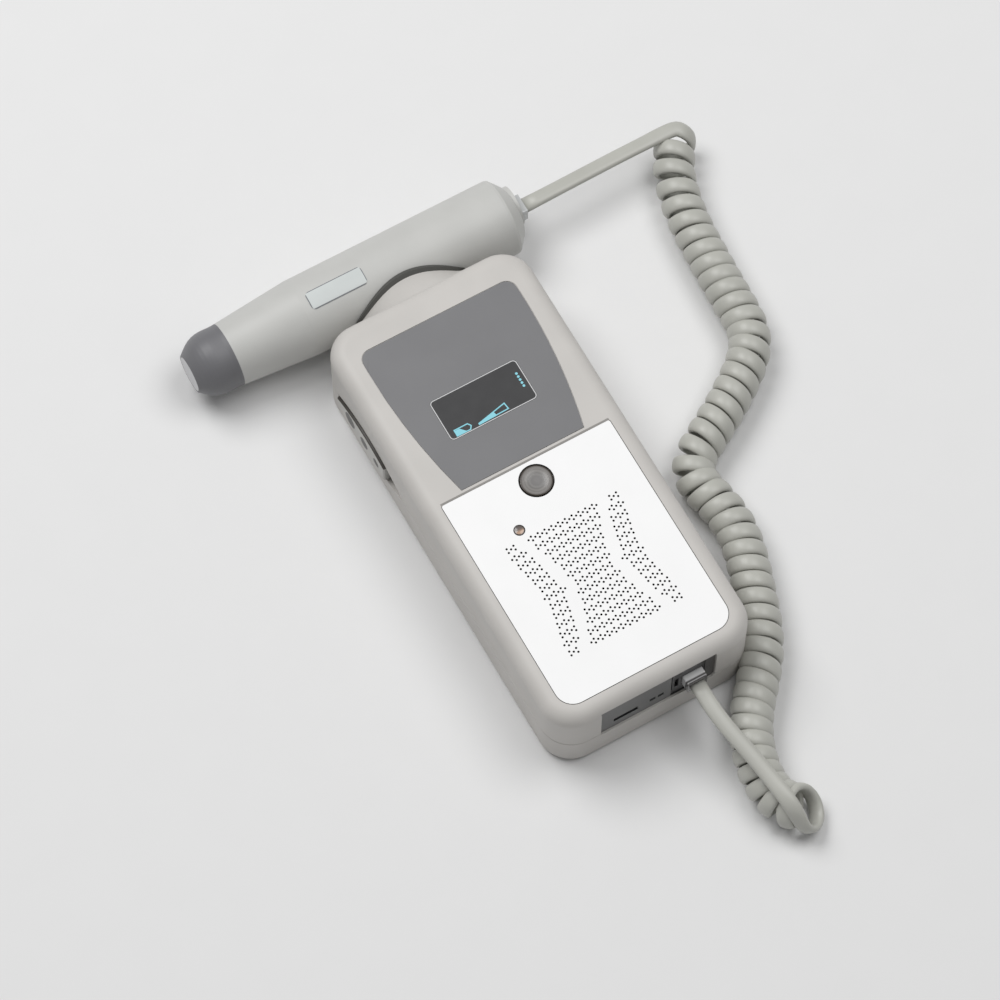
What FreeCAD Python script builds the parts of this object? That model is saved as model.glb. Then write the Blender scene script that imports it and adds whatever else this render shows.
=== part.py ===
"""Fetal doppler monitor: a hand-held unit, its probe in the cradle, and the curly cord between them.

Millimetres. The origin is the centre of the unit's rear face: +X is the cord's side, +Y the probe's
end, +Z comes out of the front. Each sub-part is a labelled object of the document, sized by the sheet.
"""
import math
import os

import FreeCAD
import Part
import Sketcher

V = FreeCAD.Vector
DOC = FreeCAD.newDocument("FetalDoppler")
SHEET = DOC.addObject("Spreadsheet::Sheet", "Dims")
ALONG_X = FreeCAD.Rotation(V(0, 1, 0), 90)
ALONG_Y = FreeCAD.Rotation(V(1, 0, 0), -90)
UPRIGHT = FreeCAD.Rotation()

# ---------------------------------------------------------------- sizes
SIZES = {
    # case
    "case_width": 78.4,
    "case_length": 167.4,
    "case_thick": 36.5,
    "parting_height": 15.5,
    "corner_radius": 12.0,
    "front_round": 5.5,
    "rear_round": 2.5,
    "side_wall": 2.2,
    "front_wall": 2.4,
    "rear_wall": 3.0,
    "front_inner_round": 3.5,
    "rear_inner_round": 1.0,
    "parting_groove": 0.3,
    # fasteners
    "boss_x": 31.0,
    "boss_y": 72.0,
    "boss_dia": 7.0,
    "rear_boss_dia": 8.4,
    "screw_dia": 2.6,
    "screw_clear_dia": 3.0,
    "screw_head_dia": 5.2,
    "screw_head_height": 2.0,
    "screw_length": 15.0,
    "counterbore_dia": 6.0,
    "counterbore_depth": 8.0,
    "drive_width": 0.8,
    "drive_length": 3.0,
    "post_dia": 5.0,
    "board_screw_dia": 1.8,
    "board_screw_head_dia": 3.6,
    "board_screw_head_height": 1.2,
    "board_screw_length": 7.0,
    # cradle
    "probe_axis_y": 102.4,
    "probe_dia": 28.5,
    "liner_thick": 1.4,
    "liner_lip": 1.8,
    "probe_gap": 0.3,
    "front_root_half": 19.0,
    "front_root_y": 82.6,
    "front_root_z": 34.2,
    "front_tip_radius": 20.4,
    "front_tip_y": 95.5,
    "front_tip_z": 5.8,
    "front_blank_bottom": 5.0,
    "rear_tongue_radius": 28.7,
    "rear_tongue_centre_y": 64.7,
    "rear_tongue_edge": 0.6,
    "rear_tongue_tilt": 5.0,
    "hook_step": 17.0,
    "grip_step": 2.4,
    # display
    "overlay_bottom": 9.4,
    "overlay_top": 71.0,
    "overlay_half_width": 30.2,
    "overlay_side_radius": 222.0,
    "overlay_waist_y": 62.0,
    "overlay_corner": 4.0,
    "overlay_thick": 0.3,
    "window_width": 33.8,
    "window_length": 16.4,
    "window_x": -0.9,
    "window_y": 35.1,
    "window_corner": 1.5,
    "window_gap": 0.12,
    "window_thick": 1.5,
    "window_ledge": 1.8,
    # speaker plate
    "plate_width": 65.7,
    "plate_bottom": -77.2,
    "plate_top": 7.5,
    "plate_thick": 0.8,
    "plate_gap": 0.25,
    "plate_top_corner": 0.8,
    "plate_bottom_corner": 6.5,
    "hole_dia": 0.8,
    "hole_step": 2.64,
    "hole_row": 0.775,
    "hole_band": 3.545,
    "hole_middle_y": -39.1,
    "ridge_bevel": 0.6,
    # loudspeaker
    "speaker_y": -39.8,
    "speaker_outer_radius": 22.4,
    "speaker_inner_radius": 21.4,
    "cone_neck_radius": 7.0,
    "cone_neck_height": 28.4,
    "cone_thick": 0.4,
    "basket_neck_radius": 12.0,
    "basket_bottom": 27.6,
    "magnet_bottom": 22.8,
    "flange_top": 33.3,
    # power button and indicator
    "button_dia": 11.5,
    "button_gap": 0.45,
    "button_proud": 0.2,
    "button_dish_dia": 8.6,
    "button_dish_depth": 0.35,
    "button_flange_dia": 13.8,
    "button_flange_height": 1.1,
    "button_stem_dia": 4.0,
    "button_stem_bottom": 27.5,
    "button_edge": 0.4,
    "button_catch_gap": 0.1,
    "guide_bore": 14.4,
    "guide_dia": 16.8,
    "guide_bottom": 29.0,
    "pipe_x": -14.1,
    "pipe_y": -13.1,
    "pipe_dia": 3.87,
    "pipe_gap": 0.1,
    "pipe_proud": 0.2,
    "pipe_dome": 0.35,
    "pipe_lip_dia": 4.6,
    "pipe_lip_height": 1.2,
    "pipe_stem_dia": 3.0,
    "pipe_bottom": 24.0,
    # volume rocker
    "rocker_y": 47.15,
    "rocker_half_chord": 23.5,
    "rocker_sagitta": 6.6,
    "rocker_gap": 0.6,
    "rocker_end_y": 35.5,
    "rocker_face_x": -40.3,
    "rocker_edge": 0.8,
    "rocker_flange_grow": 0.6,
    "rocker_flange_face_x": -35.7,
    "rocker_flange_thick": 1.0,
    "rocker_flange_reach": 21.0,
    "rocker_pin_x": -32.6,
    "rocker_pin_dia": 2.0,
    "rocker_pin_play": 0.05,
    "mark_depth": 0.5,
    "mark_proud": 0.05,
    "large_mark_y": 59.5,
    "large_mark_dia": 6.5,
    "middle_mark_y": 49.5,
    "middle_mark_dia": 5.0,
    "small_mark_y": 41.0,
    "small_mark_dia": 3.6,
    # end panel
    "panel_left": -22.3,
    "panel_right": 21.9,
    "panel_top": 32.8,
    "panel_bottom": 14.6,
    "panel_corner_x": 20.9,
    "panel_corner_z": 16.0,
    "panel_face_y": -82.95,
    "panel_seat_y": -80.8,
    "panel_back_y": -79.4,
    "panel_gap": 0.15,
    "panel_flange_reach": 1.6,
    "panel_flange_top": 31.4,
    # probe
    "probe_right": 49.1,
    "probe_taper_x": -36.5,
    "probe_joint_x": -65.0,
    "probe_joint_radius": 11.8,
    "probe_wall": 2.0,
    "probe_end_wall": 3.9,
    "probe_end_inner": 10.2,
    "probe_shoulder_x": 43.4,
    "collar_radius": 7.5,
    "collar_thick": 1.3,
    "collar_offset": 1.85,
    "probe_tip_x": -80.5,
    "probe_face_radius": 6.5,
    "probe_face_thick": 1.5,
    "nose_spigot": 4.5,
    "nose_bulge": 2.3,
    "nose_rim": 0.6,
    "crystal_radius": 5.8,
    "crystal_thick": 1.0,
    "crystal_slot": 0.6,
    "backing_radius": 6.0,
    "backing_length": 10.0,
    "seal_thick": 0.9,
    "seal_width": 1.6,
    "label_thick": 0.2,
    "label_corner": 1.5,
    # plugs, sockets and cord
    "plug_width": 7.65,
    "plug_height": 6.6,
    "plug_length": 11.7,
    "plug_edge": 0.5,
    "latch_width": 3.3,
    "latch_thick": 0.9,
    "latch_drop": 0.7,
    "latch_root": 1.2,
    "latch_length": 10.5,
    "blade_step": 1.27,
    "blade_thick": 0.35,
    "blade_length": 3.0,
    "blade_depth": 2.4,
    "blade_set": 0.8,
    "blade_sink": 0.1,
    "socket_gap": 0.15,
    "socket_wall": 2.3,
    "socket_back": 1.6,
    "socket_roof": 1.0,
    "socket_spare": 1.0,
    "unit_plug_x": 13.3,
    "unit_plug_end_y": -86.3,
    "unit_plug_z": 22.7,
    "probe_plug_end_x": 52.8,
    "cable_dia": 5.3,
    "coil_dia": 15.2,
    "wire_dia": 0.5,
}

# Plain blocks: width, length, height, centre x, centre y, bottom z.
BLOCKS = {
    "speaker_opening": (46.4, 46.8, 2.0, 0.0, -39.6, 34.0),
    "gasket_block": (50.8, 49.2, 0.8, 0.0, -40.1, 33.3),
    "flange_block": (50.8, 49.2, 1.0, 0.0, -40.1, 32.3),
    "display_module": (38.0, 21.0, 2.8, -0.9, 35.1, 31.0),
    "frame_block": (42.0, 25.0, 4.5, -0.9, 35.1, 29.6),
    "frame_pocket": (38.0, 21.0, 3.2, -0.9, 35.1, 31.0),
    "frame_slot": (16.0, 1.2, 1.4, -0.9, 26.2, 29.6),
    "display_ribbon": (14.0, 0.3, 9.4, -0.9, 26.2, 21.6),
    "main_plate": (68.0, 130.0, 1.6, 0.0, 1.0, 20.0),
    "board_tail": (29.0, 15.4, 1.6, -11.5, -71.7, 20.0),
    "board_notch": (8.0, 46.0, 1.6, -31.0, 47.0, 20.0),
    "port_notch": (10.7, 7.2, 1.6, -12.35, -75.8, 20.0),
    "switch_base": (6.0, 6.0, 3.5, 0.0, 0.0, 21.6),
    "indicator_led": (3.0, 2.0, 2.0, -14.1, -13.1, 21.6),
    "processor_chip": (12.0, 12.0, 1.4, 22.0, 13.0, 21.6),
    "amplifier_chip": (6.0, 5.0, 1.5, -20.0, -30.0, 21.6),
    "memory_chip": (8.0, 5.4, 1.5, -16.0, 12.0, 21.6),
    "charger_chip": (5.0, 5.0, 1.0, -2.0, -68.0, 21.6),
    "display_driver": (14.0, 4.0, 1.0, 4.0, 56.0, 21.6),
    "bracket_web": (1.2, 34.0, 12.3, -29.6, 47.15, 9.3),
    "bracket_ear": (4.0, 5.0, 1.8, -32.2, 47.15, 9.3),
    "bracket_top_ear": (4.0, 5.0, 1.8, -32.2, 47.15, 19.8),
    "bracket_foot": (7.2, 8.0, 1.2, -26.6, 47.15, 21.6),
    "rocker_lug": (3.7, 5.0, 8.0, -32.85, 47.15, 11.5),
    "upper_switch": (2.2, 6.0, 6.0, -31.3, 60.15, 12.5),
    "lower_switch": (2.2, 6.0, 6.0, -31.3, 34.15, 12.5),
    "jack_recess": (13.1, 3.0, 17.8, 11.55, -84.1, 15.2),
    "jack_top_slit": (13.1, 3.2, 2.2, 11.55, -82.7, 31.0),
    "jack_side_slit": (0.6, 3.2, 12.5, 5.3, -82.7, 19.0),
    "jack_slot": (1.5, 3.0, 6.4, 7.3, -82.7, 20.1),
    "port_opening": (9.4, 6.0, 2.3, -12.5, -81.0, 18.9),
    "charge_port": (9.3, 7.0, 2.2, -12.5, -79.0, 18.95),
    "port_bore": (8.5, 6.0, 1.4, -12.5, -79.8, 19.35),
    "port_tongue": (6.2, 4.4, 0.5, -12.5, -78.5, 19.8),
    "first_light": (2.3, 3.4, 2.0, -2.1, -81.15, 19.7),
    "second_light": (2.3, 3.4, 2.0, 1.1, -81.15, 19.7),
    "tray_block": (38.8, 59.4, 15.4, 0.0, -32.0, 3.0),
    "tray_inside": (36.4, 57.0, 14.2, 0.0, -32.0, 3.0),
    "door_recess": (36.2, 81.4, 1.5, 0.0, -43.5, 0.0),
    "door_opening": (33.0, 57.0, 3.0, 0.0, -32.0, 0.0),
    "door_plate": (36.0, 80.7, 1.3, 0.0, -43.3, 0.2),
    "door_hook": (1.9, 5.0, 0.9, 16.85, -6.5, 3.1),
    "door_rib": (1.0, 5.0, 2.5, 15.9, -6.5, 1.5),
    "hook_notch": (2.0, 6.0, 3.0, 17.2, -17.5, 0.0),
    "door_grip": (18.0, 0.8, 0.5, 0.0, -70.0, 0.2),
    "contact_plate": (12.0, 0.5, 12.0, -8.0, -3.75, 3.3),
    "probe_board": (86.0, 16.0, 1.6, -13.0, 102.4, 14.7),
    "probe_chip": (10.0, 8.0, 1.4, -20.0, 102.4, 16.3),
    "probe_filter": (6.0, 6.0, 2.4, 8.0, 103.4, 16.3),
    "label_block": (21.9, 6.8, 8.0, -22.95, 100.4, 24.0),
}

# Round pieces: diameter, height, centre x, centre y, bottom z, axis upright.
RODS = {
    "display_leg": (3.0, 8.0, 18.4, 21.3, 21.6),
    "plunger": (3.5, 1.7, 0.0, 0.0, 25.1),
    "capacitor": (6.3, 8.0, 29.0, -34.0, 21.6),
    "crystal_can": (4.0, 2.2, 27.0, 26.0, 21.6),
    "cell_can": (14.2, 48.6, -8.0, -54.3, 9.3),
    "cell_nub": (5.2, 1.7, -8.0, -5.7, 9.3),
    "switch_plunger": (2.4, 1.7, -34.1, 60.15, 15.5),
}
BATTERY_SPRING = {"spring_radius": 3.0, "spring_wire": 0.6, "spring_pitch": 1.5, "spring_length": 4.6}
SPRING_SEGMENT_TURNS = 0.25
NOSE_STEPS = 10
NOSE_SKEW = 1.3
# The probe's cable end, as (x, radius), and a dome and a dish as shares of their radius and height.
PROBE_END = [(43.6, 14.25), (44.6, 14.0), (46.0, 12.4), (48.2, 9.8), (48.9, 8.4), (49.1, 7.6)]
DOME = [(0.0, 1.0), (0.35, 0.94), (0.65, 0.76), (0.85, 0.53)]
DISH = [(0.0, 1.0), (0.6, 0.8), (1.0, 0.0)]
EASE = 0.29
POSTS = [(-29.5, -58.0), (29.5, -58.0), (29.5, 60.0), (-22.0, 60.0)]

# Perforation by band from the middle outwards: holes in an outer and a middle row of the centre zone,
# then the first x and count of a side strip's outer row and of its middle row.
BANDS = [
    (6, 5, 12.45, 3, 11.13, 4),
    (6, 7, 13.10, 3, 14.42, 2),
    (7, 6, 13.80, 3, 15.12, 2),
    (8, 7, 14.55, 3, 15.87, 2),
    (8, 9, 15.40, 3, 16.72, 2),
    (10, 9, 17.60, 2, 16.28, 3),
    (10, 11, 18.65, 2, 19.97, 1),
]

# Routes of the cord: x, y, z of each point.
PROBE_LEAD = [
    (52.8, 102.4, 15.5), (76.0, 102.4, 15.5), (98.0, 104.1, 14.7), (108.5, 104.7, 14.2),
    (115.2, 103.4, 12.9), (119.0, 99.2, 9.6), (116.8, 93.6, 6.4), (112.4, 91.4, 5.6),
]
COIL = [
    (111.4, 97.4), (106.4, 85.6), (103.5, 72.2), (102.1, 55.8), (100.0, 39.3), (100.8, 25.9),
    (98.1, 18.8), (89.7, 9.5), (79.8, 2.2), (70.8, -4.9), (62.0, -6.2), (57.3, -11.4),
    (55.7, -18.2), (57.6, -25.0), (58.7, -33.0), (55.3, -48.9), (50.8, -62.5), (47.6, -76.3),
    (43.3, -85.2), (33.3, -93.2), (26.4, -100.4), (21.1, -108.7), (17.9, -119.3), (19.0, -130.4),
    (26.0, -140.2),
]
COIL_HEIGHT = 7.7
UNIT_LEAD = [
    (13.3, -86.3, 22.7), (13.3, -92.5, 22.7), (14.6, -104.2, 21.6), (16.6, -116.2, 21.0),
    (18.2, -128.0, 21.0), (19.6, -140.0, 20.8), (20.9, -147.6, 19.4), (23.4, -152.2, 15.2),
    (26.6, -152.0, 9.8), (28.6, -146.4, 6.2), (26.0, -137.8, 6.6),
]


class Dim(float):
    """A number that also carries the sheet expression that gives it."""

    def __new__(cls, value, text):
        item = super().__new__(cls, value)
        item.text = text
        return item

    def __add__(self, other):
        return Dim(float(self) + float(other), "(%s + %s)" % (self.text, words(other)))

    def __radd__(self, other):
        return Dim(float(other) + float(self), "(%s + %s)" % (words(other), self.text))

    def __sub__(self, other):
        return Dim(float(self) - float(other), "(%s - %s)" % (self.text, words(other)))

    def __rsub__(self, other):
        return Dim(float(other) - float(self), "(%s - %s)" % (words(other), self.text))

    def __mul__(self, other):
        return Dim(float(self) * float(other), "(%s * %s)" % (self.text, words(other)))

    __rmul__ = __mul__

    def __truediv__(self, other):
        return Dim(float(self) / float(other), "(%s / %s)" % (self.text, words(other)))

    def __neg__(self):
        return Dim(-float(self), "(-1 * %s)" % self.text)


def words(value):
    return value.text if isinstance(value, Dim) else repr(float(value))


class Sizes:
    """The sheet's cells as Dim attributes."""


d = Sizes()


def fill_sheet():
    rows = dict(SIZES)
    rows.update(BATTERY_SPRING)
    for name, values in BLOCKS.items():
        for word, value in zip(("width", "length", "height", "x", "y", "bottom"), values):
            rows["%s_%s" % (name, word)] = value
    for name, values in RODS.items():
        for word, value in zip(("dia", "height", "x", "y", "bottom"), values):
            rows["%s_%s" % (name, word)] = value
    for row, (alias, value) in enumerate(rows.items(), 1):
        SHEET.set("A%d" % row, alias)
        SHEET.set("B%d" % row, str(value))
        SHEET.setAlias("B%d" % row, alias)
        setattr(d, alias, Dim(value, "Dims.%s" % alias))
    DOC.recompute()


# ---------------------------------------------------------------- drawing helpers
def bind(item, prop, value):
    item.setExpression(prop, words(value))


def place(item, x, y, z, turn=UPRIGHT):
    item.Placement = FreeCAD.Placement(V(x, y, z), turn)
    for axis, value in zip("xyz", (x, y, z)):
        bind(item, "Placement.Base.%s" % axis, value)
    return item


def box(name, width, length, height, x, y, bottom):
    """A box by its size, the centre of its plan and its bottom."""
    item = DOC.addObject("Part::Box", name)
    bind(item, "Length", width)
    bind(item, "Width", length)
    bind(item, "Height", height)
    return place(item, x - width / 2, y - length / 2, bottom)


def block(name):
    """One of the sheet's plain blocks."""
    sizes = ("width", "length", "height", "x", "y", "bottom")
    return box(name, *[getattr(d, "%s_%s" % (name, word)) for word in sizes])


def rod(name, dia, height, x, y, bottom, turn=UPRIGHT):
    item = DOC.addObject("Part::Cylinder", name)
    bind(item, "Radius", dia / 2)
    bind(item, "Height", height)
    return place(item, x, y, bottom, turn)


def sheet_rod(name, turn=UPRIGHT):
    """One of the sheet's round pieces."""
    sizes = ("dia", "height", "x", "y", "bottom")
    return rod(name, *[getattr(d, "%s_%s" % (name, word)) for word in sizes], turn=turn)


def fuse(name, items):
    item = DOC.addObject("Part::MultiFuse", name)
    item.Shapes = items
    item.Refine = True
    return item


def common(name, items):
    item = DOC.addObject("Part::MultiCommon", name)
    item.Shapes = items
    return item


def cut(name, base, tools):
    item = DOC.addObject("Part::Cut", name)
    item.Base = base
    item.Tool = tools[0] if len(tools) == 1 else fuse(name + "_tools", tools)
    item.Refine = True
    return item


def group(name, items):
    item = DOC.addObject("Part::Compound", name)
    item.Links = items
    return item


def soften(name, base, radius, test):
    """Round the edges of base that pass the test."""
    DOC.recompute()
    item = DOC.addObject("Part::Fillet", name)
    item.Base = base
    chosen = [n for n, edge in enumerate(base.Shape.Edges, 1) if test(edge)]
    item.Edges = [(n, float(radius), float(radius)) for n in chosen]
    return item


def level(edge, z):
    """Whether an edge lies wholly at one height."""
    bounds = edge.BoundBox
    return abs(bounds.ZMin - z) < 1e-4 and abs(bounds.ZMax - z) < 1e-4


def standing(edge):
    return edge.BoundBox.ZLength > 1e-3 and edge.BoundBox.XLength < 1e-4 and edge.BoundBox.YLength < 1e-4


def origin_plane(body, role):
    return [item for item in body.Origin.OriginFeatures if item.Role == role][0]


def sketch(body, name, lift=0.0, role="XY_Plane"):
    item = body.newObject("Sketcher::SketchObject", name)
    item.AttachmentSupport = [(origin_plane(body, role), "")]
    item.MapMode = "FlatFace"
    bind(item, "AttachmentOffset.Base.z", lift)
    return item


def pin_point(item, geometry, point, x, y):
    """Fix one point of a sketch at sheet-driven coordinates."""
    for kind, value in (("DistanceX", x), ("DistanceY", y)):
        number = item.addConstraint(Sketcher.Constraint(kind, -1, 1, geometry, point, float(value)))
        bind(item, "Constraints[%d]" % number, value)


def polygon(item, points):
    """A closed outline of straight edges."""
    count = len(points)
    for n in range(count):
        start = V(*[float(v) for v in points[n]], 0)
        end = V(*[float(v) for v in points[(n + 1) % count]], 0)
        item.addGeometry(Part.LineSegment(start, end), False)
    for n in range(count):
        item.addConstraint(Sketcher.Constraint("Coincident", n, 2, (n + 1) % count, 1))
    for n, (x, y) in enumerate(points):
        pin_point(item, n, 1, x, y)


def rounded(item, width, length, radii, x=0.0, y=0.0):
    """A rectangle with rounded corners: lower right, upper right, upper left, lower left."""
    right, top = x + width / 2, y + length / 2
    left, bottom = x - width / 2, y - length / 2
    corners = [(right, bottom, -1, 1), (right, top, -1, -1), (left, top, 1, -1), (left, bottom, 1, 1)]
    centres = [V(cx + sx * r, cy + sy * r, 0) for (cx, cy, sx, sy), r in zip(corners, radii)]
    first = item.GeometryCount
    for n, (centre, radius) in enumerate(zip(centres, radii)):
        circle = Part.Circle(centre, V(0, 0, 1), float(radius))
        start = (n - 1) * math.pi / 2
        item.addGeometry(Part.ArcOfCircle(circle, start, start + math.pi / 2), False)
    arcs = item.Geometry[first:]
    for n in range(4):
        begin, end = arcs[n].EndPoint, arcs[(n + 1) % 4].StartPoint
        item.addGeometry(Part.LineSegment(begin, end), False)
    for n in range(4):
        arc, line, following = first + n, first + 4 + n, first + (n + 1) % 4
        item.addConstraint(Sketcher.Constraint("Tangent", arc, 2, line, 1))
        item.addConstraint(Sketcher.Constraint("Tangent", line, 2, following, 1))
        number = item.addConstraint(Sketcher.Constraint("Radius", arc, float(radii[n])))
        bind(item, "Constraints[%d]" % number, radii[n])
    for n, kind, where, value in (
        (0, "Vertical", "DistanceX", right), (1, "Horizontal", "DistanceY", top),
        (2, "Vertical", "DistanceX", left), (3, "Horizontal", "DistanceY", bottom),
    ):
        line = first + 4 + n
        item.addConstraint(Sketcher.Constraint(kind, line))
        number = item.addConstraint(Sketcher.Constraint(where, -1, 1, line, 1, float(value)))
        bind(item, "Constraints[%d]" % number, value)


def pad(body, profile, height):
    item = body.newObject("PartDesign::Pad", profile.Name + "_pad")
    item.Profile = profile
    bind(item, "Length", height)
    return item


def pocket(body, profile, depth, upwards):
    item = body.newObject("PartDesign::Pocket", profile.Name + "_pocket")
    item.Profile = profile
    item.Reversed = upwards
    bind(item, "Length", depth)
    return item


def dress(body, kind, base, prop, size, test):
    """Fillet or chamfer the edges of the body's last feature that pass the test."""
    DOC.recompute()
    item = body.newObject("PartDesign::" + kind, base.Name + "_" + kind.lower())
    item.Base = (base, ["Edge%d" % n for n, edge in enumerate(base.Shape.Edges, 1) if test(edge)])
    bind(item, prop, size)
    return item


def revolved(name, points, axis="V_Axis", role="XZ_Plane"):
    """A body turned from a closed outline about a sketch axis."""
    body = DOC.addObject("PartDesign::Body", name)
    profile = sketch(body, name + "_profile", role=role)
    polygon(profile, points)
    turn = body.newObject("PartDesign::Revolution", name + "_turn")
    turn.Profile = profile
    turn.ReferenceAxis = (profile, [axis])
    turn.Angle = 360
    return body


def turned_up(name, points, x, y, z=0.0):
    """A body turned about an upright axis; points are (radius, height)."""
    return place(revolved(name, points), x, y, z)


def turned_along(name, points):
    """A body turned about the probe's axis; points are (x, radius)."""
    body = revolved(name, points, "H_Axis", "XY_Plane")
    return place(body, 0.0, d.probe_axis_y, d.parting_height)


# ---------------------------------------------------------------- case
def outer_edge(edge, z):
    reach_x = max(abs(edge.BoundBox.XMin), abs(edge.BoundBox.XMax))
    reach_y = max(abs(edge.BoundBox.YMin), abs(edge.BoundBox.YMax))
    inset = d.side_wall / 2
    outside = reach_x > d.case_width / 2 - inset or reach_y > d.case_length / 2 - inset
    return level(edge, z) and outside


def case_half(name, bottom, top, rim, edge_round, inner_round, cavity_depth, upwards):
    """A hollow half of the case, open at the parting height."""
    body = DOC.addObject("PartDesign::Body", name)
    outline = sketch(body, name + "_outline", bottom)
    rounded(outline, d.case_width, d.case_length, [d.corner_radius] * 4)
    solid = pad(body, outline, top - bottom)
    softened = dress(body, "Fillet", solid, "Radius", edge_round, lambda e: level(e, rim))
    cavity = sketch(body, name + "_cavity", d.parting_height)
    inner_radius = d.corner_radius - d.side_wall
    inner_width, inner_length = d.case_width - 2 * d.side_wall, d.case_length - 2 * d.side_wall
    rounded(cavity, inner_width, inner_length, [inner_radius] * 4)
    hollow = pocket(body, cavity, cavity_depth, upwards)
    floor = d.parting_height + cavity_depth if upwards else d.parting_height - cavity_depth
    smooth = dress(body, "Fillet", hollow, "Radius", inner_round, lambda e: level(e, floor))
    dress(body, "Chamfer", smooth, "Size", d.parting_groove, lambda e: outer_edge(e, d.parting_height))
    return body


def each_boss(make):
    places = [(sx, sy) for sx in (-1, 1) for sy in (-1, 1)]
    return [make(n, sx * d.boss_x, sy * d.boss_y) for n, (sx, sy) in enumerate(places)]


def arched(item, radius, low, centre):
    """A closed outline with a half-round top on straight sides."""
    r, base, middle = float(radius), float(low), float(centre)
    item.addGeometry(Part.LineSegment(V(-r, base, 0), V(r, base, 0)), False)
    item.addGeometry(Part.LineSegment(V(r, base, 0), V(r, middle, 0)), False)
    item.addGeometry(Part.ArcOfCircle(Part.Circle(V(0, middle, 0), V(0, 0, 1), r), 0, math.pi), False)
    item.addGeometry(Part.LineSegment(V(-r, middle, 0), V(-r, base, 0)), False)
    for n, kind in enumerate(("Coincident", "Tangent", "Tangent", "Coincident")):
        item.addConstraint(Sketcher.Constraint(kind, n, 2, (n + 1) % 4, 1))
    for side in (1, 3):
        item.addConstraint(Sketcher.Constraint("Vertical", side))
    pin_point(item, 0, 1, -radius, low)
    pin_point(item, 1, 1, radius, low)
    number = item.addConstraint(Sketcher.Constraint("DistanceY", -1, 1, 2, 3, middle))
    bind(item, "Constraints[%d]" % number, centre)


def front_tongue_blank(name, grow):
    """Straight where it leaves the case's rounded edge, half-round at its tip."""
    body = DOC.addObject("PartDesign::Body", name + "_loft")
    half, low, top = d.front_root_half + grow, d.front_blank_bottom, d.front_root_z + grow
    root = sketch(body, name + "_root", -d.front_root_y, "XZ_Plane")
    polygon(root, [(-half, low), (half, low), (half, top), (-half, top)])
    tip = sketch(body, name + "_tip", -d.front_tip_y, "XZ_Plane")
    arched(tip, d.front_tip_radius + grow, low, d.front_tip_z)
    loft = body.newObject("PartDesign::AdditiveLoft", name + "_skin")
    loft.Profile = root
    loft.Sections = [tip]
    loft.Ruled = True
    upper = box(name + "_upper", 2 * d.case_width, d.case_length, d.case_thick, 0.0, d.front_root_y,
                d.parting_height)
    return common(name, [body, upper])


def rear_tongue_blank(name, grow):
    """Disc-edged, its outer face sloping away from the rear face."""
    end = d.case_length / 2
    back = 2 * d.corner_radius
    radius = d.rear_tongue_radius + grow
    disc = rod(name + "_disc", 2 * radius, d.parting_height, 0.0, d.rear_tongue_centre_y, 0.0)
    reach = box(name + "_reach", d.case_width, 2 * back, d.parting_height, 0.0,
                end - d.side_wall / 2 + back, 0.0)
    slab = DOC.addObject("Part::Box", name + "_slope")
    bind(slab, "Length", 2 * d.case_width)
    bind(slab, "Width", end)
    bind(slab, "Height", d.case_thick)
    angle = math.radians(d.rear_tongue_tilt)
    place(slab, -d.case_width, end - back * math.cos(angle) + d.case_thick * math.sin(angle),
          d.rear_tongue_edge - back * math.sin(angle) - d.case_thick * math.cos(angle),
          FreeCAD.Rotation(V(1, 0, 0), float(d.rear_tongue_tilt)))
    return cut(name, common(name + "_plan", [disc, reach]), [slab])


def probe_space(name, radius):
    """A long rod of space round the probe's axis."""
    return rod(name, 2 * radius, 2 * d.case_width, -d.case_width, d.probe_axis_y, d.parting_height, ALONG_X)


def cradle(side, blank):
    """A tongue of the case and the liner between it and the probe."""
    bore = d.probe_dia / 2 + d.probe_gap
    seat = probe_space(side + "_tongue_seat", bore + d.liner_thick)
    tongue = cut(side + "_tongue", blank(side + "_tongue_blank", 0.0), [seat])
    sleeve = common(side + "_liner_sleeve", [blank(side + "_liner_blank", d.liner_lip), seat])
    cut(side + "_cradle_liner", sleeve, [probe_space(side + "_liner_bore", bore)])
    return tongue


def lens(name, grow, left, width):
    """The rocker's lens outline, upright, as deep as width along x."""
    radius = (d.rocker_half_chord * d.rocker_half_chord + d.rocker_sagitta * d.rocker_sagitta)
    radius = radius / (2 * d.rocker_sagitta)
    offset = radius - d.rocker_sagitta
    arcs = []
    for n, side in enumerate((-1, 1)):
        centre = d.parting_height + side * offset
        arcs.append(rod("%s_arc%d" % (name, n), 2 * (radius + grow), width, left, d.rocker_y, centre,
                        ALONG_X))
    return common(name, arcs)


def overlay_outline(name, grow, bottom, height):
    """The overlay's plan: straight ends, slightly bowed sides and two rounded corners."""
    width = 2 * (d.overlay_half_width + grow)
    length = d.overlay_top - d.overlay_bottom + 2 * grow
    middle = (d.overlay_top + d.overlay_bottom) / 2
    blank = box(name + "_box", width, length, height, 0.0, middle, bottom)
    sides = []
    for n, side in enumerate((-1, 1)):
        centre = side * (d.overlay_side_radius - d.overlay_half_width)
        dia = 2 * (d.overlay_side_radius + grow)
        sides.append(rod("%s_side%d" % (name, n), dia, height, centre, d.overlay_waist_y, bottom))
    plan = common(name + "_plan", [blank] + sides)
    return soften(name, plan, d.overlay_corner + grow,
                  lambda e: standing(e) and e.BoundBox.YMin > d.overlay_waist_y)


def window_block(name, width, length, height, bottom, corner):
    """A rounded block at the display's window."""
    body = DOC.addObject("PartDesign::Body", name)
    outline = sketch(body, name + "_outline", bottom)
    rounded(outline, width, length, [corner] * 4, d.window_x, d.window_y)
    pad(body, outline, height)
    return body


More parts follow.
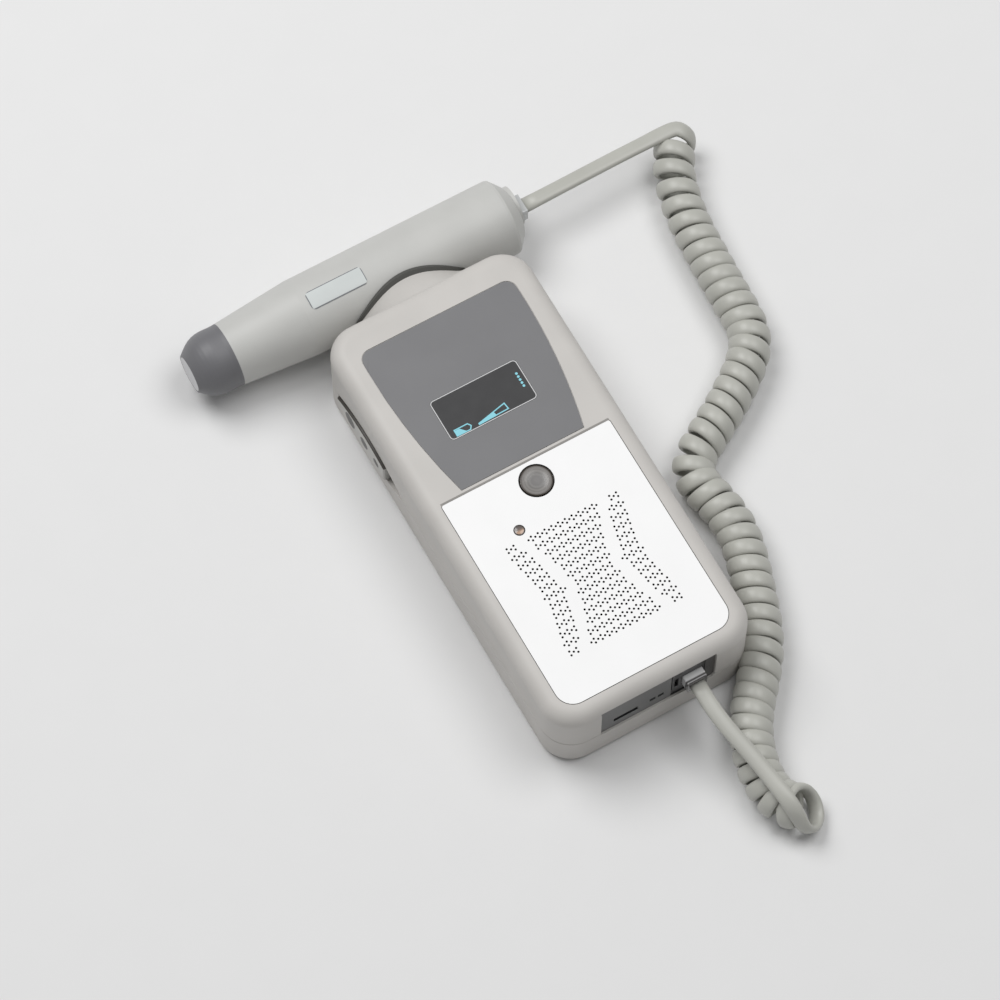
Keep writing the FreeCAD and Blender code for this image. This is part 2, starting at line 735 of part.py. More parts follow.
def plate_outline(body, name, bottom, grow):
    """The speaker plate's outline, square at the top and rounder at the bottom."""
    outline = sketch(body, name, bottom)
    length = d.plate_top - d.plate_bottom + 2 * grow
    low, high = d.plate_bottom_corner + grow, d.plate_top_corner + grow
    rounded(outline, d.plate_width + 2 * grow, length, [low, high, high, low],
            y=(d.plate_top + d.plate_bottom) / 2)
    return outline


def ridge_bevel():
    """The sloped lower edge of the ridge between the display's film and the speaker plate."""
    side = d.ridge_bevel * math.sqrt(2)
    item = DOC.addObject("Part::Box", "ridge_bevel")
    bind(item, "Length", d.plate_width)
    bind(item, "Width", side)
    bind(item, "Height", side)
    return place(item, -d.plate_width / 2, d.plate_top + d.plate_gap - d.ridge_bevel, d.case_thick,
                 FreeCAD.Rotation(V(1, 0, 0), -45))


def rocker_slot(name):
    return lens(name, 0.0, -d.case_width / 2 - d.side_wall, 2.5 * d.side_wall)


def panel_hole(name):
    end = d.case_length / 2
    return panel_front(name, d.panel_gap, -end - d.side_wall, 1.5 * d.side_wall - end)


def make_front_shell():
    inner = d.case_thick - d.front_wall
    below = inner - d.front_wall / 2
    blank = case_half("front_blank", d.parting_height, d.case_thick, d.case_thick, d.front_round,
                      d.front_inner_round, inner - d.parting_height, True)
    bosses = each_boss(lambda n, x, y: rod("front_boss%d" % n, d.boss_dia, inner - d.parting_height,
                                           x, y, d.parting_height))
    board_top = d.main_plate_bottom + d.main_plate_height
    posts = [rod("board_post%d" % n, d.post_dia, inner - board_top, x, y, board_top)
             for n, (x, y) in enumerate(POSTS)]
    tongue = cradle("front", front_tongue_blank)
    solid = fuse("front_solid", [blank, tongue] + bosses + posts)

    recess = DOC.addObject("PartDesign::Body", "plate_recess")
    pad(recess, plate_outline(recess, "plate_recess_outline", d.case_thick - d.plate_thick, d.plate_gap),
        2 * d.plate_thick)
    gap, ledge = d.window_gap, d.window_ledge
    window = window_block("window_recess", d.window_width + 2 * gap, d.window_length + 2 * gap,
                          2 * d.window_thick, d.case_thick - d.window_thick, d.window_corner + gap)
    through = window_block("window_opening", d.window_width - 2 * ledge, d.window_length - 2 * ledge,
                           2 * d.front_wall, inner - d.front_wall, d.window_corner)
    tools = [
        recess, window, through, block("speaker_opening"),
        overlay_outline("overlay_recess", d.plate_gap, d.case_thick - d.overlay_thick, d.front_wall),
        rod("button_bore", d.button_dia + 2 * d.button_gap, 2 * d.front_wall, 0.0, 0.0, below),
        rod("pipe_bore", d.pipe_dia + 2 * d.pipe_gap, 2 * d.front_wall, d.pipe_x, d.pipe_y, below),
        rocker_slot("front_rocker_slot"), panel_hole("front_panel_hole"), ridge_bevel(),
    ]
    tools += each_boss(lambda n, x, y: rod("front_pilot%d" % n, d.screw_dia, d.screw_length, x, y,
                                           d.counterbore_depth))
    tools += [rod("post_pilot%d" % n, d.board_screw_dia, d.board_screw_length, x, y, d.main_plate_bottom)
              for n, (x, y) in enumerate(POSTS)]
    cut("front_shell", solid, tools)


def make_rear_shell():
    depth = d.parting_height - d.rear_wall
    blank = case_half("rear_blank", 0.0, d.parting_height, 0.0, d.rear_round,
                      d.rear_inner_round, depth, False)
    bosses = each_boss(lambda n, x, y: rod("rear_boss%d" % n, d.rear_boss_dia, depth, x, y, d.rear_wall))
    tongue = cradle("rear", rear_tongue_blank)
    solid = fuse("rear_solid", [blank, tongue] + bosses)
    tools = [block("door_recess"), block("door_opening"), rocker_slot("rear_rocker_slot"),
             panel_hole("rear_panel_hole")]
    tools += each_boss(lambda n, x, y: rod("rear_clearance%d" % n, d.screw_clear_dia, d.parting_height,
                                           x, y, 0.0))
    tools += each_boss(lambda n, x, y: rod("counterbore%d" % n, d.counterbore_dia, d.counterbore_depth,
                                           x, y, 0.0))
    tools += door_sets("hook_notch", d.hook_notch_y)
    cut("rear_shell", solid, tools)


def screw(name, x, y, seat, shank_dia, length, head_dia, head_height):
    """A slotted pan-head screw pointing up, its head below the seat."""
    shank = rod(name + "_shank", shank_dia, length, x, y, seat)
    head = rod(name + "_head", head_dia, head_height, x, y, seat - head_height)
    bottom = seat - head_height
    slot = box(name + "_slot", d.drive_length * head_dia / d.screw_head_dia, d.drive_width,
               head_height / 2, x, y, bottom)
    return cut(name, fuse(name + "_solid", [shank, head]), [slot])


def make_screws():
    case = each_boss(lambda n, x, y: screw(
        "case_screw%d" % n, x, y, d.counterbore_depth, d.screw_dia, d.screw_length,
        d.screw_head_dia, d.screw_head_height))
    group("case_screws", case)
    board = [screw("board_screw%d" % n, x, y, d.main_plate_bottom, d.board_screw_dia,
                   d.board_screw_length, d.board_screw_head_dia, d.board_screw_head_height)
             for n, (x, y) in enumerate(POSTS)]
    group("board_screws", board)


# ---------------------------------------------------------------- front face
def hole_centres():
    """Every perforation, as (x, y)."""
    points = []
    for band in range(-len(BANDS) + 1, len(BANDS)):
        outer, middle, strip_x, strip, strip_mid_x, strip_mid = BANDS[abs(band)]
        y = d.hole_middle_y + band * d.hole_band
        rows = ((y - d.hole_row, outer, strip_x, strip), (y, middle, strip_mid_x, strip_mid),
                (y + d.hole_row, outer, strip_x, strip))
        for row_y, count, first, side_count in rows:
            points += [((n - (count - 1) / 2) * d.hole_step, row_y) for n in range(count)]
            for n in range(side_count):
                x = first + n * d.hole_step
                points += [(x, row_y), (-x, row_y)]
    return points


def make_speaker_plate():
    body = DOC.addObject("PartDesign::Body", "plate_blank")
    outline = plate_outline(body, "plate_blank_outline", d.case_thick - d.plate_thick, 0.0)
    radius = float(d.hole_dia / 2)
    holes = [Part.Circle(V(x, y, 0), V(0, 0, 1), radius) for x, y in hole_centres()]
    outline.addGeometry(holes, False)
    pad(body, outline, d.plate_thick)
    low = d.case_thick - 2 * d.plate_thick
    button = rod("plate_button_hole", d.button_dia + 2 * d.button_gap, 4 * d.plate_thick, 0.0, 0.0, low)
    pipe = rod("plate_pipe_hole", d.pipe_dia + 2 * d.pipe_gap, 4 * d.plate_thick, d.pipe_x, d.pipe_y, low)
    cut("speaker_plate", body, [button, pipe])


def make_display():
    inner = d.case_thick - d.front_wall
    film = overlay_outline("overlay_film", 0.0, d.case_thick - d.overlay_thick, d.overlay_thick)
    gap = d.window_gap
    opening = window_block("overlay_window", d.window_width + 2 * gap, d.window_length + 2 * gap,
                           d.front_wall, inner, d.window_corner + gap)
    cut("display_overlay", film, [opening])
    window_block("display_lens", d.window_width, d.window_length, d.window_thick,
                 d.case_thick - d.window_thick, d.window_corner)
    block("display_module")
    legs = []
    for n, (sx, sy) in enumerate(((-1, -1), (-1, 1), (1, -1), (1, 1))):
        x = d.frame_block_x + sx * (d.frame_block_width - d.display_leg_dia) / 2
        y = d.frame_block_y + sy * (d.frame_block_length - d.display_leg_dia) / 2
        legs.append(rod("display_leg%d" % n, d.display_leg_dia, d.display_leg_height, x, y,
                        d.display_leg_bottom))
    solid = fuse("frame_solid", [block("frame_block")] + legs)
    cut("display_frame", solid, [block("frame_pocket"), block("frame_slot")])
    block("display_ribbon")


def make_speaker():
    cut("speaker_gasket", block("gasket_block"),
        [box("gasket_opening", d.speaker_opening_width, d.speaker_opening_length, d.front_wall,
             d.speaker_opening_x, d.speaker_opening_y, d.flange_block_bottom)])
    low = d.flange_block_bottom
    bore = rod("flange_bore", 2 * d.speaker_outer_radius, 3 * d.flange_block_height, 0.0, d.speaker_y,
               low - d.flange_block_height)
    flange = cut("speaker_flange", block("flange_block"), [bore])
    wall, top = d.flange_top - low, d.flange_top
    basket = turned_up("speaker_basket", [
        (d.speaker_outer_radius - wall, top), (d.speaker_outer_radius, top),
        (d.speaker_outer_radius, low), (d.basket_neck_radius, d.basket_bottom),
        (d.basket_neck_radius - wall, d.basket_bottom), (d.speaker_outer_radius - wall, low)],
        0.0, d.speaker_y)
    fuse("speaker_frame", [flange, basket])
    neck, thick = d.cone_neck_radius, d.cone_thick
    dome = d.cone_neck_height + thick
    turned_up("speaker_cone", [
        (0.0, dome), (neck, dome), (d.speaker_inner_radius, top - thick), (d.speaker_inner_radius, top),
        (neck, dome + thick), (neck / 2, dome + 4 * thick), (0.0, dome + 5 * thick)], 0.0, d.speaker_y)
    rod("speaker_magnet", 2 * d.basket_neck_radius, d.basket_bottom - d.magnet_bottom, 0.0,
        d.speaker_y, d.magnet_bottom)


def make_button():
    top = d.case_thick + d.button_proud
    radius, edge = d.button_dia / 2, d.button_edge
    flange_top = d.case_thick - d.front_wall - d.button_catch_gap
    flange_bottom = flange_top - d.button_flange_height
    dish = d.button_dish_dia / 2
    dished = [(dish * out, top - d.button_dish_depth * down) for out, down in DISH]
    turned_up("power_button", dished + [
        (radius - edge, top), (radius - edge * EASE, top - edge * EASE),
        (radius, top - edge), (radius, flange_top), (d.button_flange_dia / 2, flange_top),
        (d.button_flange_dia / 2, flange_bottom), (d.button_stem_dia / 2, flange_bottom),
        (d.button_stem_dia / 2, d.button_stem_bottom), (0.0, d.button_stem_bottom)], 0.0, 0.0)
    inner = d.case_thick - d.front_wall
    turned_up("button_guide", [
        (d.guide_bore / 2, inner), (d.guide_dia / 2, inner), (d.guide_dia / 2, d.guide_bottom),
        (d.guide_bore / 2, d.guide_bottom)], 0.0, 0.0)
    fuse("power_switch", [block("switch_base"), sheet_rod("plunger")])
    lip_bottom = inner - d.pipe_lip_height
    rim = d.case_thick + d.pipe_proud - d.pipe_dome
    domed = [(d.pipe_dia / 2 * out, rim + d.pipe_dome * up) for out, up in DOME]
    turned_up("light_pipe", domed + [
        (d.pipe_dia / 2, rim), (d.pipe_dia / 2, inner),
        (d.pipe_lip_dia / 2, inner), (d.pipe_lip_dia / 2, lip_bottom),
        (d.pipe_stem_dia / 2, lip_bottom), (d.pipe_stem_dia / 2, d.pipe_bottom),
        (0.0, d.pipe_bottom)], d.pipe_x, d.pipe_y)
    block("indicator_led")


# ---------------------------------------------------------------- inside
def make_boards():
    solid = fuse("board_solid", [block("main_plate"), block("board_tail")])
    tools = [block("board_notch"), block("port_notch")]
    tools += [rod("board_hole%d" % n, d.board_screw_dia, 2 * d.main_plate_height, x, y,
                  d.main_plate_bottom) for n, (x, y) in enumerate(POSTS)]
    cut("main_board", solid, tools)
    chips = [block(name) for name in ("processor_chip", "amplifier_chip", "memory_chip",
                                      "charger_chip", "display_driver")]
    group("board_chips", chips + [sheet_rod("capacitor"), sheet_rod("crystal_can")])


def make_rocker():
    face = lens("rocker_face", -d.rocker_gap, d.rocker_face_x, d.rocker_flange_face_x - d.rocker_face_x)
    keep = box("rocker_keep", 4 * d.side_wall, d.rocker_half_chord * 2, d.parting_height * 2,
               -d.case_width / 2, d.rocker_end_y + d.rocker_half_chord, 0.0)
    trimmed = common("rocker_trimmed", [face, keep])
    softened = soften("rocker_soft", trimmed, d.rocker_edge,
                      lambda e: abs(e.BoundBox.XMax - d.rocker_face_x) < 1e-4)
    flange = lens("rocker_flange_lens", d.rocker_flange_grow, d.rocker_flange_face_x, d.rocker_flange_thick)
    reach = box("rocker_flange_reach", 4 * d.side_wall, 2 * d.rocker_flange_reach, d.case_thick,
                d.rocker_flange_face_x, d.rocker_y, 0.0)
    solid = fuse("rocker_solid", [softened, common("rocker_flange", [flange, reach]), block("rocker_lug")])
    seats, marks = [], []
    for size in ("large", "middle", "small"):
        y, dia = getattr(d, size + "_mark_y"), getattr(d, size + "_mark_dia")
        left = d.rocker_face_x - 2 * d.mark_depth
        seats.append(rod(size + "_mark_seat", dia, 3 * d.mark_depth, left, y, d.parting_height, ALONG_X))
        marks.append(rod(size + "_mark", dia, d.mark_depth + d.mark_proud,
                         d.rocker_face_x - d.mark_proud, y, d.parting_height, ALONG_X))
    bore = rod("rocker_bore", d.rocker_pin_dia + 2 * d.rocker_pin_play, d.case_thick, d.rocker_pin_x,
               d.rocker_y, 0.0)
    cut("volume_rocker", solid, seats + [bore])
    group("rocker_marks", marks)

    top = d.bracket_top_ear_bottom + d.bracket_top_ear_height
    rod("rocker_pin", d.rocker_pin_dia, top - d.bracket_ear_bottom, d.rocker_pin_x, d.rocker_y,
        d.bracket_ear_bottom)
    bracket = fuse("bracket_solid", [block("bracket_web"), block("bracket_ear"), block("bracket_top_ear"),
                                     block("bracket_foot")])
    cut("rocker_bracket", bracket, [rod("bracket_bore", d.rocker_pin_dia, d.case_thick, d.rocker_pin_x,
                                        d.rocker_y, 0.0)])
    switches = []
    for name in ("upper_switch", "lower_switch"):
        y = getattr(d, name + "_y")
        plunger = rod(name + "_plunger", d.switch_plunger_dia, d.switch_plunger_height, d.switch_plunger_x,
                      y, d.switch_plunger_bottom, ALONG_X)
        switches.append(fuse(name + "_solid", [block(name), plunger]))
    group("volume_switches", switches)


def make_batteries():
    cut("battery_tray", block("tray_block"), [block("tray_inside")])
    middle = d.tray_block_y
    can = sheet_rod("cell_can", ALONG_Y)
    nub = sheet_rod("cell_nub", ALONG_Y)
    nub_end = d.cell_nub_y + d.cell_nub_height
    other_can = rod("other_can", d.cell_can_dia, d.cell_can_height, -d.cell_can_x,
                    2 * middle - d.cell_can_y - d.cell_can_height, d.cell_can_bottom, ALONG_Y)
    other_nub = rod("other_nub", d.cell_nub_dia, d.cell_nub_height, -d.cell_nub_x, 2 * middle - nub_end,
                    d.cell_nub_bottom, ALONG_Y)
    group("battery_cells", [fuse("first_cell", [can, nub]), fuse("second_cell", [other_can, other_nub])])
    plates = [block("contact_plate")]
    for n, (side, y) in enumerate(((-1, d.contact_plate_y), (1, 2 * middle - d.contact_plate_y),
                                   (-1, 2 * middle - d.contact_plate_y))):
        plates.append(box("contact_plate%d" % n, d.contact_plate_width, d.contact_plate_length,
                          d.contact_plate_height, side * d.contact_plate_x, y, d.contact_plate_bottom))
    group("battery_contacts", plates)
    springs = []
    inset = d.contact_plate_length / 2
    near = 2 * middle - d.contact_plate_y + inset
    for n, (x, y, turn) in enumerate(((d.cell_can_x, near, ALONG_Y),
                                      (-d.cell_can_x, d.contact_plate_y - inset, None))):
        springs.append(battery_spring("battery_spring%d" % n, x, y, turn))
    group("battery_springs", springs)


def battery_spring(name, x, y, turn):
    """A short coil spring standing on a contact plate."""
    helix = DOC.addObject("Part::Helix", name + "_helix")
    bind(helix, "Pitch", d.spring_pitch)
    bind(helix, "Height", d.spring_length - 2 * d.spring_wire)
    bind(helix, "Radius", d.spring_radius)
    helix.SegmentLength = SPRING_SEGMENT_TURNS
    wire = DOC.addObject("Part::Circle", name + "_wire")
    bind(wire, "Radius", d.spring_wire / 2)
    wire.Placement = FreeCAD.Placement(V(float(d.spring_radius), 0, 0), FreeCAD.Rotation(V(1, 0, 0), 90))
    sweep = DOC.addObject("Part::Sweep", name + "_sweep")
    sweep.Sections = [wire]
    sweep.Spine = (helix, [])
    sweep.Solid = True
    sweep.Frenet = True
    turn = turn or FreeCAD.Rotation(V(1, 0, 0), 90)
    offset = d.spring_wire / 2 if y < d.tray_block_y else -d.spring_wire / 2
    return place(sweep, x, y + offset, d.cell_can_bottom, turn)


def door_sets(name, first_y):
    """Three pairs of hooks or notches along the battery door."""
    width, length, height, x, bottom = [getattr(d, "%s_%s" % (name, word))
                                        for word in ("width", "length", "height", "x", "bottom")]
    return [box("%s_%d%s" % (name, n, letter), width, length, height, side * x, first_y - n * d.hook_step,
                bottom) for n in range(3) for side, letter in ((-1, "a"), (1, "b"))]


def make_door():
    hooks = door_sets("door_hook", d.door_hook_y)
    ribs = door_sets("door_rib", d.door_rib_y)
    solid = fuse("door_solid", [block("door_plate")] + hooks + ribs)
    grips = [box("door_groove%d" % n, d.door_grip_width, d.door_grip_length, d.door_grip_height,
                 d.door_grip_x, d.door_grip_y + n * d.grip_step, d.door_grip_bottom) for n in range(5)]
    grooved = cut("door_grooved", solid, grips)
    outline = box("door_limit", d.case_width, d.case_length, d.case_thick, 0.0, 0.0, 0.0)
    rounded_limit = soften("door_limit_round", outline, d.rear_round,
                           lambda e: level(e, 0.0) and e.BoundBox.YLength < 1e-4)
    common("battery_door", [grooved, rounded_limit])


# ---------------------------------------------------------------- end panel and sockets
def panel_block(name, points, front, back):
    """An upright outline across the bottom end, pushed through from its front to its back."""
    body = DOC.addObject("PartDesign::Body", name)
    outline = sketch(body, name + "_outline", -back, "XZ_Plane")
    polygon(outline, points)
    pad(body, outline, back - front)
    return body


def panel_front(name, grow, front, back):
    """The panel's outline with its one cut corner."""
    left, right = d.panel_left - grow, d.panel_right + grow
    bottom, top = d.panel_bottom - grow, d.panel_top + grow
    return panel_block(name, [(left, bottom), (d.panel_corner_x, bottom), (right, d.panel_corner_z),
                              (right, top), (left, top)], front, back)


def make_end_panel():
    reach = d.panel_flange_reach
    left, right = d.panel_left - reach, d.panel_right + reach
    front = panel_front("panel_front", 0.0, d.panel_face_y, d.panel_seat_y)
    flange = panel_block("panel_flange", [(left, d.panel_bottom), (right, d.panel_bottom),
                                          (right, d.panel_flange_top), (left, d.panel_flange_top)],
                         d.panel_seat_y, d.panel_back_y)
    mouth = d.plug_width + 2 * d.socket_gap
    opening = box("panel_plug_hole", mouth, 4 * d.socket_wall, d.plug_height + 2 * d.socket_gap,
                  d.unit_plug_x, -d.case_length / 2, d.unit_plug_z - d.plug_height / 2 - d.socket_gap)
    drop = d.latch_drop + d.latch_thick + d.socket_gap
    latch = box("panel_latch_hole", d.latch_width + 2 * d.socket_gap, 4 * d.socket_wall, 2 * drop,
                d.unit_plug_x, -d.case_length / 2, d.unit_plug_z - d.plug_height / 2 - drop)
    tools = [opening, latch]
    tools += [block(name) for name in ("jack_recess", "jack_top_slit", "jack_side_slit", "jack_slot",
                                       "port_opening")]
    tools += [box(name + "_hole", getattr(d, name + "_width"), 4 * d.socket_wall,
                  getattr(d, name + "_height"), getattr(d, name + "_x"), getattr(d, name + "_y"),
                  getattr(d, name + "_bottom")) for name in ("first_light", "second_light")]
    cut("end_panel", fuse("panel_solid", [front, flange]), tools)
    group("charge_lights", [block("first_light"), block("second_light")])
    shell = cut("port_shell", block("charge_port"), [block("port_bore")])
    fuse("charging_port", [shell, block("port_tongue")])


def socket(name, depth):
    """A modular socket in its own frame: it opens towards -x at the origin, latch side down."""
    width = d.plug_width + 2 * d.socket_gap
    height = d.plug_height + 2 * d.socket_gap
    drop = d.latch_drop + d.latch_thick + d.socket_gap
    outer_height = height + drop + d.socket_roof + 2 * d.socket_wall
    bottom = -height / 2 - drop - d.socket_wall
    body = box(name + "_block", depth + d.socket_back, width + 2 * d.socket_wall, outer_height,
               (depth + d.socket_back) / 2, 0.0, bottom)
    bore = box(name + "_bore", depth, width, height + d.socket_roof, depth / 2, 0.0, -height / 2)
    latch = box(name + "_latch_bore", depth, d.latch_width + 2 * d.socket_gap, 2 * drop, depth / 2, 0.0,
                -height / 2 - drop)
    slot = box(name + "_wire_slot", 2 * depth, 5 * d.blade_step, d.socket_roof, depth, 0.0, height / 2)
    return cut(name + "_solid", body, [bore, latch, slot])


def plug(name):
    """A modular plug in its own frame: tip towards +x, cable end at the origin, latch side down."""
    body = box(name + "_block", d.plug_length, d.plug_width, d.plug_height, d.plug_length / 2, 0.0,
               -d.plug_height / 2)
    softened = soften(name + "_soft", body, d.plug_edge, lambda e: e.BoundBox.XLength > 1e-3)
    low = -d.plug_height / 2 - d.latch_drop - d.latch_thick
    lever = box(name + "_lever", d.latch_length, d.latch_width, d.latch_thick,
                d.plug_length - d.latch_length / 2, 0.0, low)
    root = box(name + "_root", d.latch_root, d.latch_width, d.latch_drop + d.latch_thick + d.plug_edge,
               d.plug_length - d.latch_root / 2, 0.0, low)
    slots = blades(name + "_slot")
    return cut(name + "_solid", fuse(name + "_whole", [softened, lever, root]), slots)


def blades(name):
    """Four contact blades in a plug's own frame."""
    items = []
    for n in range(4):
        y = (n - 1.5) * d.blade_step
        items.append(box("%s%d" % (name, n), d.blade_length, d.blade_thick, d.blade_depth,
                         d.plug_length - d.blade_set - d.blade_length / 2, y,
                         d.plug_height / 2 - d.blade_depth - d.blade_sink))
    return items


def contact_wires(name, run, drop):
    """Four bent contact wires in a socket's own frame."""
    items = []
    start = d.socket_spare
    for n in range(4):
        y = (n - 1.5) * d.blade_step
        z = d.plug_height / 2 + d.socket_gap + d.wire_dia
        level_run = rod("%s_run%d" % (name, n), d.wire_dia, run, start, y, z, ALONG_X)
        leg = rod("%s_leg%d" % (name, n), d.wire_dia, drop + d.wire_dia / 2, start + run - d.wire_dia / 2, y,
                  z - drop)
        items.append(fuse("%s_wire%d" % (name, n), [level_run, leg]))
    return items


def moved(name, item, x, y, z, turn):
    """A labelled copy of a piece drawn in its own frame, at its place in the unit."""
    held = DOC.addObject("Part::Compound", name)
    held.Links = [item] if not isinstance(item, list) else item
    return place(held, x, y, z, turn)


def make_plugs_and_sockets():
    facing_in = FreeCAD.Rotation(V(0, 0, 1), 90)
    facing_left = FreeCAD.Rotation(V(0, 0, 1), 180)
    axis_y, mid = d.probe_axis_y, d.parting_height
    x, y, z = d.unit_plug_x, d.unit_plug_end_y, d.unit_plug_z
    moved("unit_plug", plug("unit_plug"), x, y, z, facing_in)
    moved("unit_plug_contacts", blades("unit_blade"), x, y, z, facing_in)
    moved("probe_plug", plug("probe_plug"), d.probe_plug_end_x, axis_y, mid, facing_left)
    moved("probe_plug_contacts", blades("probe_blade"), d.probe_plug_end_x, axis_y, mid, facing_left)

    front = d.panel_back_y
    depth = d.plug_length - (front - d.unit_plug_end_y) + d.socket_spare
    moved("unit_jack", socket("unit_jack", depth), x, front, z, facing_in)
    board_end = d.main_plate_y - d.main_plate_length / 2
    wire_z = z + d.plug_height / 2 + d.socket_gap + d.wire_dia
    run = board_end - front + d.socket_spare
    drop = wire_z - d.main_plate_bottom - d.main_plate_height
    moved("unit_jack_contacts", contact_wires("unit_jack", run, drop), x, front, z, facing_in)

    inside = d.probe_right - d.probe_end_wall
    probe_depth = d.plug_length - (d.probe_plug_end_x - inside) + d.socket_spare
    moved("probe_jack", socket("probe_jack", probe_depth), inside, axis_y, mid, facing_left)
    board_right = d.probe_board_x + d.probe_board_width / 2
    probe_drop = wire_z - z - d.probe_board_height / 2
    probe_run = inside - board_right + d.socket_spare
    moved("probe_jack_contacts", contact_wires("probe_jack", probe_run, probe_drop), inside, axis_y, mid,
          facing_left)


# ---------------------------------------------------------------- probe
def make_probe_body():
    radius, wall = d.probe_dia / 2, d.probe_wall
    right, inner = d.probe_right, d.probe_right - d.probe_end_wall
    tube = turned_along("probe_tube", [
        (d.probe_joint_x, d.probe_joint_radius - wall), (d.probe_joint_x, d.probe_joint_radius),
        (d.probe_taper_x, radius)] + PROBE_END + [
        (right, 0.0), (inner, 0.0), (inner, d.probe_end_inner), (d.probe_shoulder_x, radius - wall),
        (d.probe_taper_x, radius - wall)])
    collar = rod("probe_collar", 2 * d.collar_radius, d.probe_end_wall + d.collar_thick, inner,
                 d.probe_axis_y + d.collar_offset, d.parting_height, ALONG_X)
    mouth = d.plug_width + 2 * d.socket_gap
    height = d.plug_height + 2 * d.socket_gap
    drop = d.latch_drop + d.latch_thick + d.socket_gap
    opening = box("probe_plug_hole", 4 * d.probe_end_wall, mouth, height, right, d.probe_axis_y,
                  d.parting_height - height / 2)
    latch = box("probe_latch_hole", 4 * d.probe_end_wall, d.latch_width + 2 * d.socket_gap, 2 * drop, right,
                d.probe_axis_y, d.parting_height - height / 2 - drop)
    cut("probe_body", fuse("probe_solid", [tube, collar]), [opening, latch])


def make_probe_nose():
    joint, tip = d.probe_joint_x, d.probe_tip_x
    outer, face = d.probe_joint_radius, d.probe_face_radius
    spigot = outer - d.probe_wall
    seal = d.seal_thick
    back = tip + d.probe_face_thick + d.crystal_thick + d.backing_length
    points = [(joint, spigot), (joint, outer)]
    rim = face + d.nose_rim
    for n in range(1, NOSE_STEPS):
        part = n / NOSE_STEPS
        bulge = d.nose_bulge * math.sin(math.pi * part ** NOSE_SKEW)
        points.append((joint + (tip - joint) * part, outer + (rim - outer) * part + bulge))
    groove = joint + d.seal_width
    points += [
        (tip, rim), (tip, face), (tip + d.probe_face_thick, face),
        (tip + d.probe_face_thick, d.backing_radius), (back, d.backing_radius),
        (back, spigot - 2 * seal), (joint + d.nose_spigot, spigot - 2 * seal),
        (joint + d.nose_spigot, spigot), (groove + d.seal_width, spigot),
        (groove + d.seal_width, spigot - seal), (groove, spigot - seal), (groove, spigot),
    ]
    turned_along("probe_nose", points)
    turned_along("probe_seal", [(groove, spigot - seal), (groove, spigot), (groove + d.seal_width, spigot),
                                (groove + d.seal_width, spigot - seal)])
    turned_along("probe_face", [(tip, 0.0), (tip, face), (tip + d.probe_face_thick, face),
                                (tip + d.probe_face_thick, 0.0)])


def make_probe_inside():
    axis_y, mid = d.probe_axis_y, d.parting_height
    behind = d.probe_tip_x + d.probe_face_thick
    disc = rod("crystal_disc", 2 * d.crystal_radius, d.crystal_thick, behind, axis_y, mid, ALONG_X)
    slot = box("crystal_gap", 4 * d.crystal_thick, d.crystal_slot, d.probe_dia, behind, axis_y,
               mid - d.probe_dia / 2)
    cut("probe_crystals", disc, [slot])
    rod("probe_backing", 2 * d.backing_radius, d.backing_length, behind + d.crystal_thick, axis_y, mid,
        ALONG_X)
    group("probe_circuit", [block("probe_board"), block("probe_chip"), block("probe_filter")])
    ring = cut("label_ring", probe_space("label_outer", d.probe_dia / 2 + d.label_thick),
               [probe_space("label_inner", d.probe_dia / 2)])
    plan = soften("label_plan", block("label_block"), d.label_corner, standing)
    common("probe_label", [ring, plan])


# ---------------------------------------------------------------- cord
def route_wire(points):
    """Straight runs joined by tangent arcs; also the smallest arc's radius."""
    points = [V(*point) for point in points]
    edges, start, smallest = [], points[0], None
    for before, here, after in zip(points, points[1:], points[2:]):
        arrive, leave = (here - before).normalize(), (after - here).normalize()
        trim = 0.45 * min((here - before).Length, (after - here).Length)
        turn = arrive.getAngle(leave)
        radius = trim / math.tan(turn / 2)
        smallest = radius if smallest is None else min(smallest, radius)
        begin, end = here - arrive * trim, here + leave * trim
        inward = (leave - arrive).normalize()
        middle = here + inward * (radius / math.cos(turn / 2) - radius)
        edges += [Part.LineSegment(start, begin).toShape(), Part.Arc(begin, middle, end).toShape()]
        start = end
    edges.append(Part.LineSegment(start, points[-1]).toShape())
    return Part.Wire(edges), smallest


def cord_tube(name, points, dia):
    """A round tube along a route."""
    path, smallest = route_wire(points)
    first = (V(*points[1]) - V(*points[0])).normalize()
    section = Part.Wire(Part.Circle(V(*points[0]), first, float(dia) / 2).toShape())
    item = DOC.addObject("Part::Feature", name)
    item.Shape = path.makePipeShell([section], True, False)
    expected = math.pi * float(dia) ** 2 / 4 * path.Length
    print("%s: length %.1f, smallest radius %.1f, volume ratio %.4f"
          % (name, path.Length, smallest, item.Shape.Volume / expected))
    return item


def make_cord():
    cord_tube("probe_lead", PROBE_LEAD, d.cable_dia)
    cord_tube("cord_coil", [(x, y, COIL_HEIGHT) for x, y in COIL], d.coil_dia)
    cord_tube("unit_lead", UNIT_LEAD, d.cable_dia)


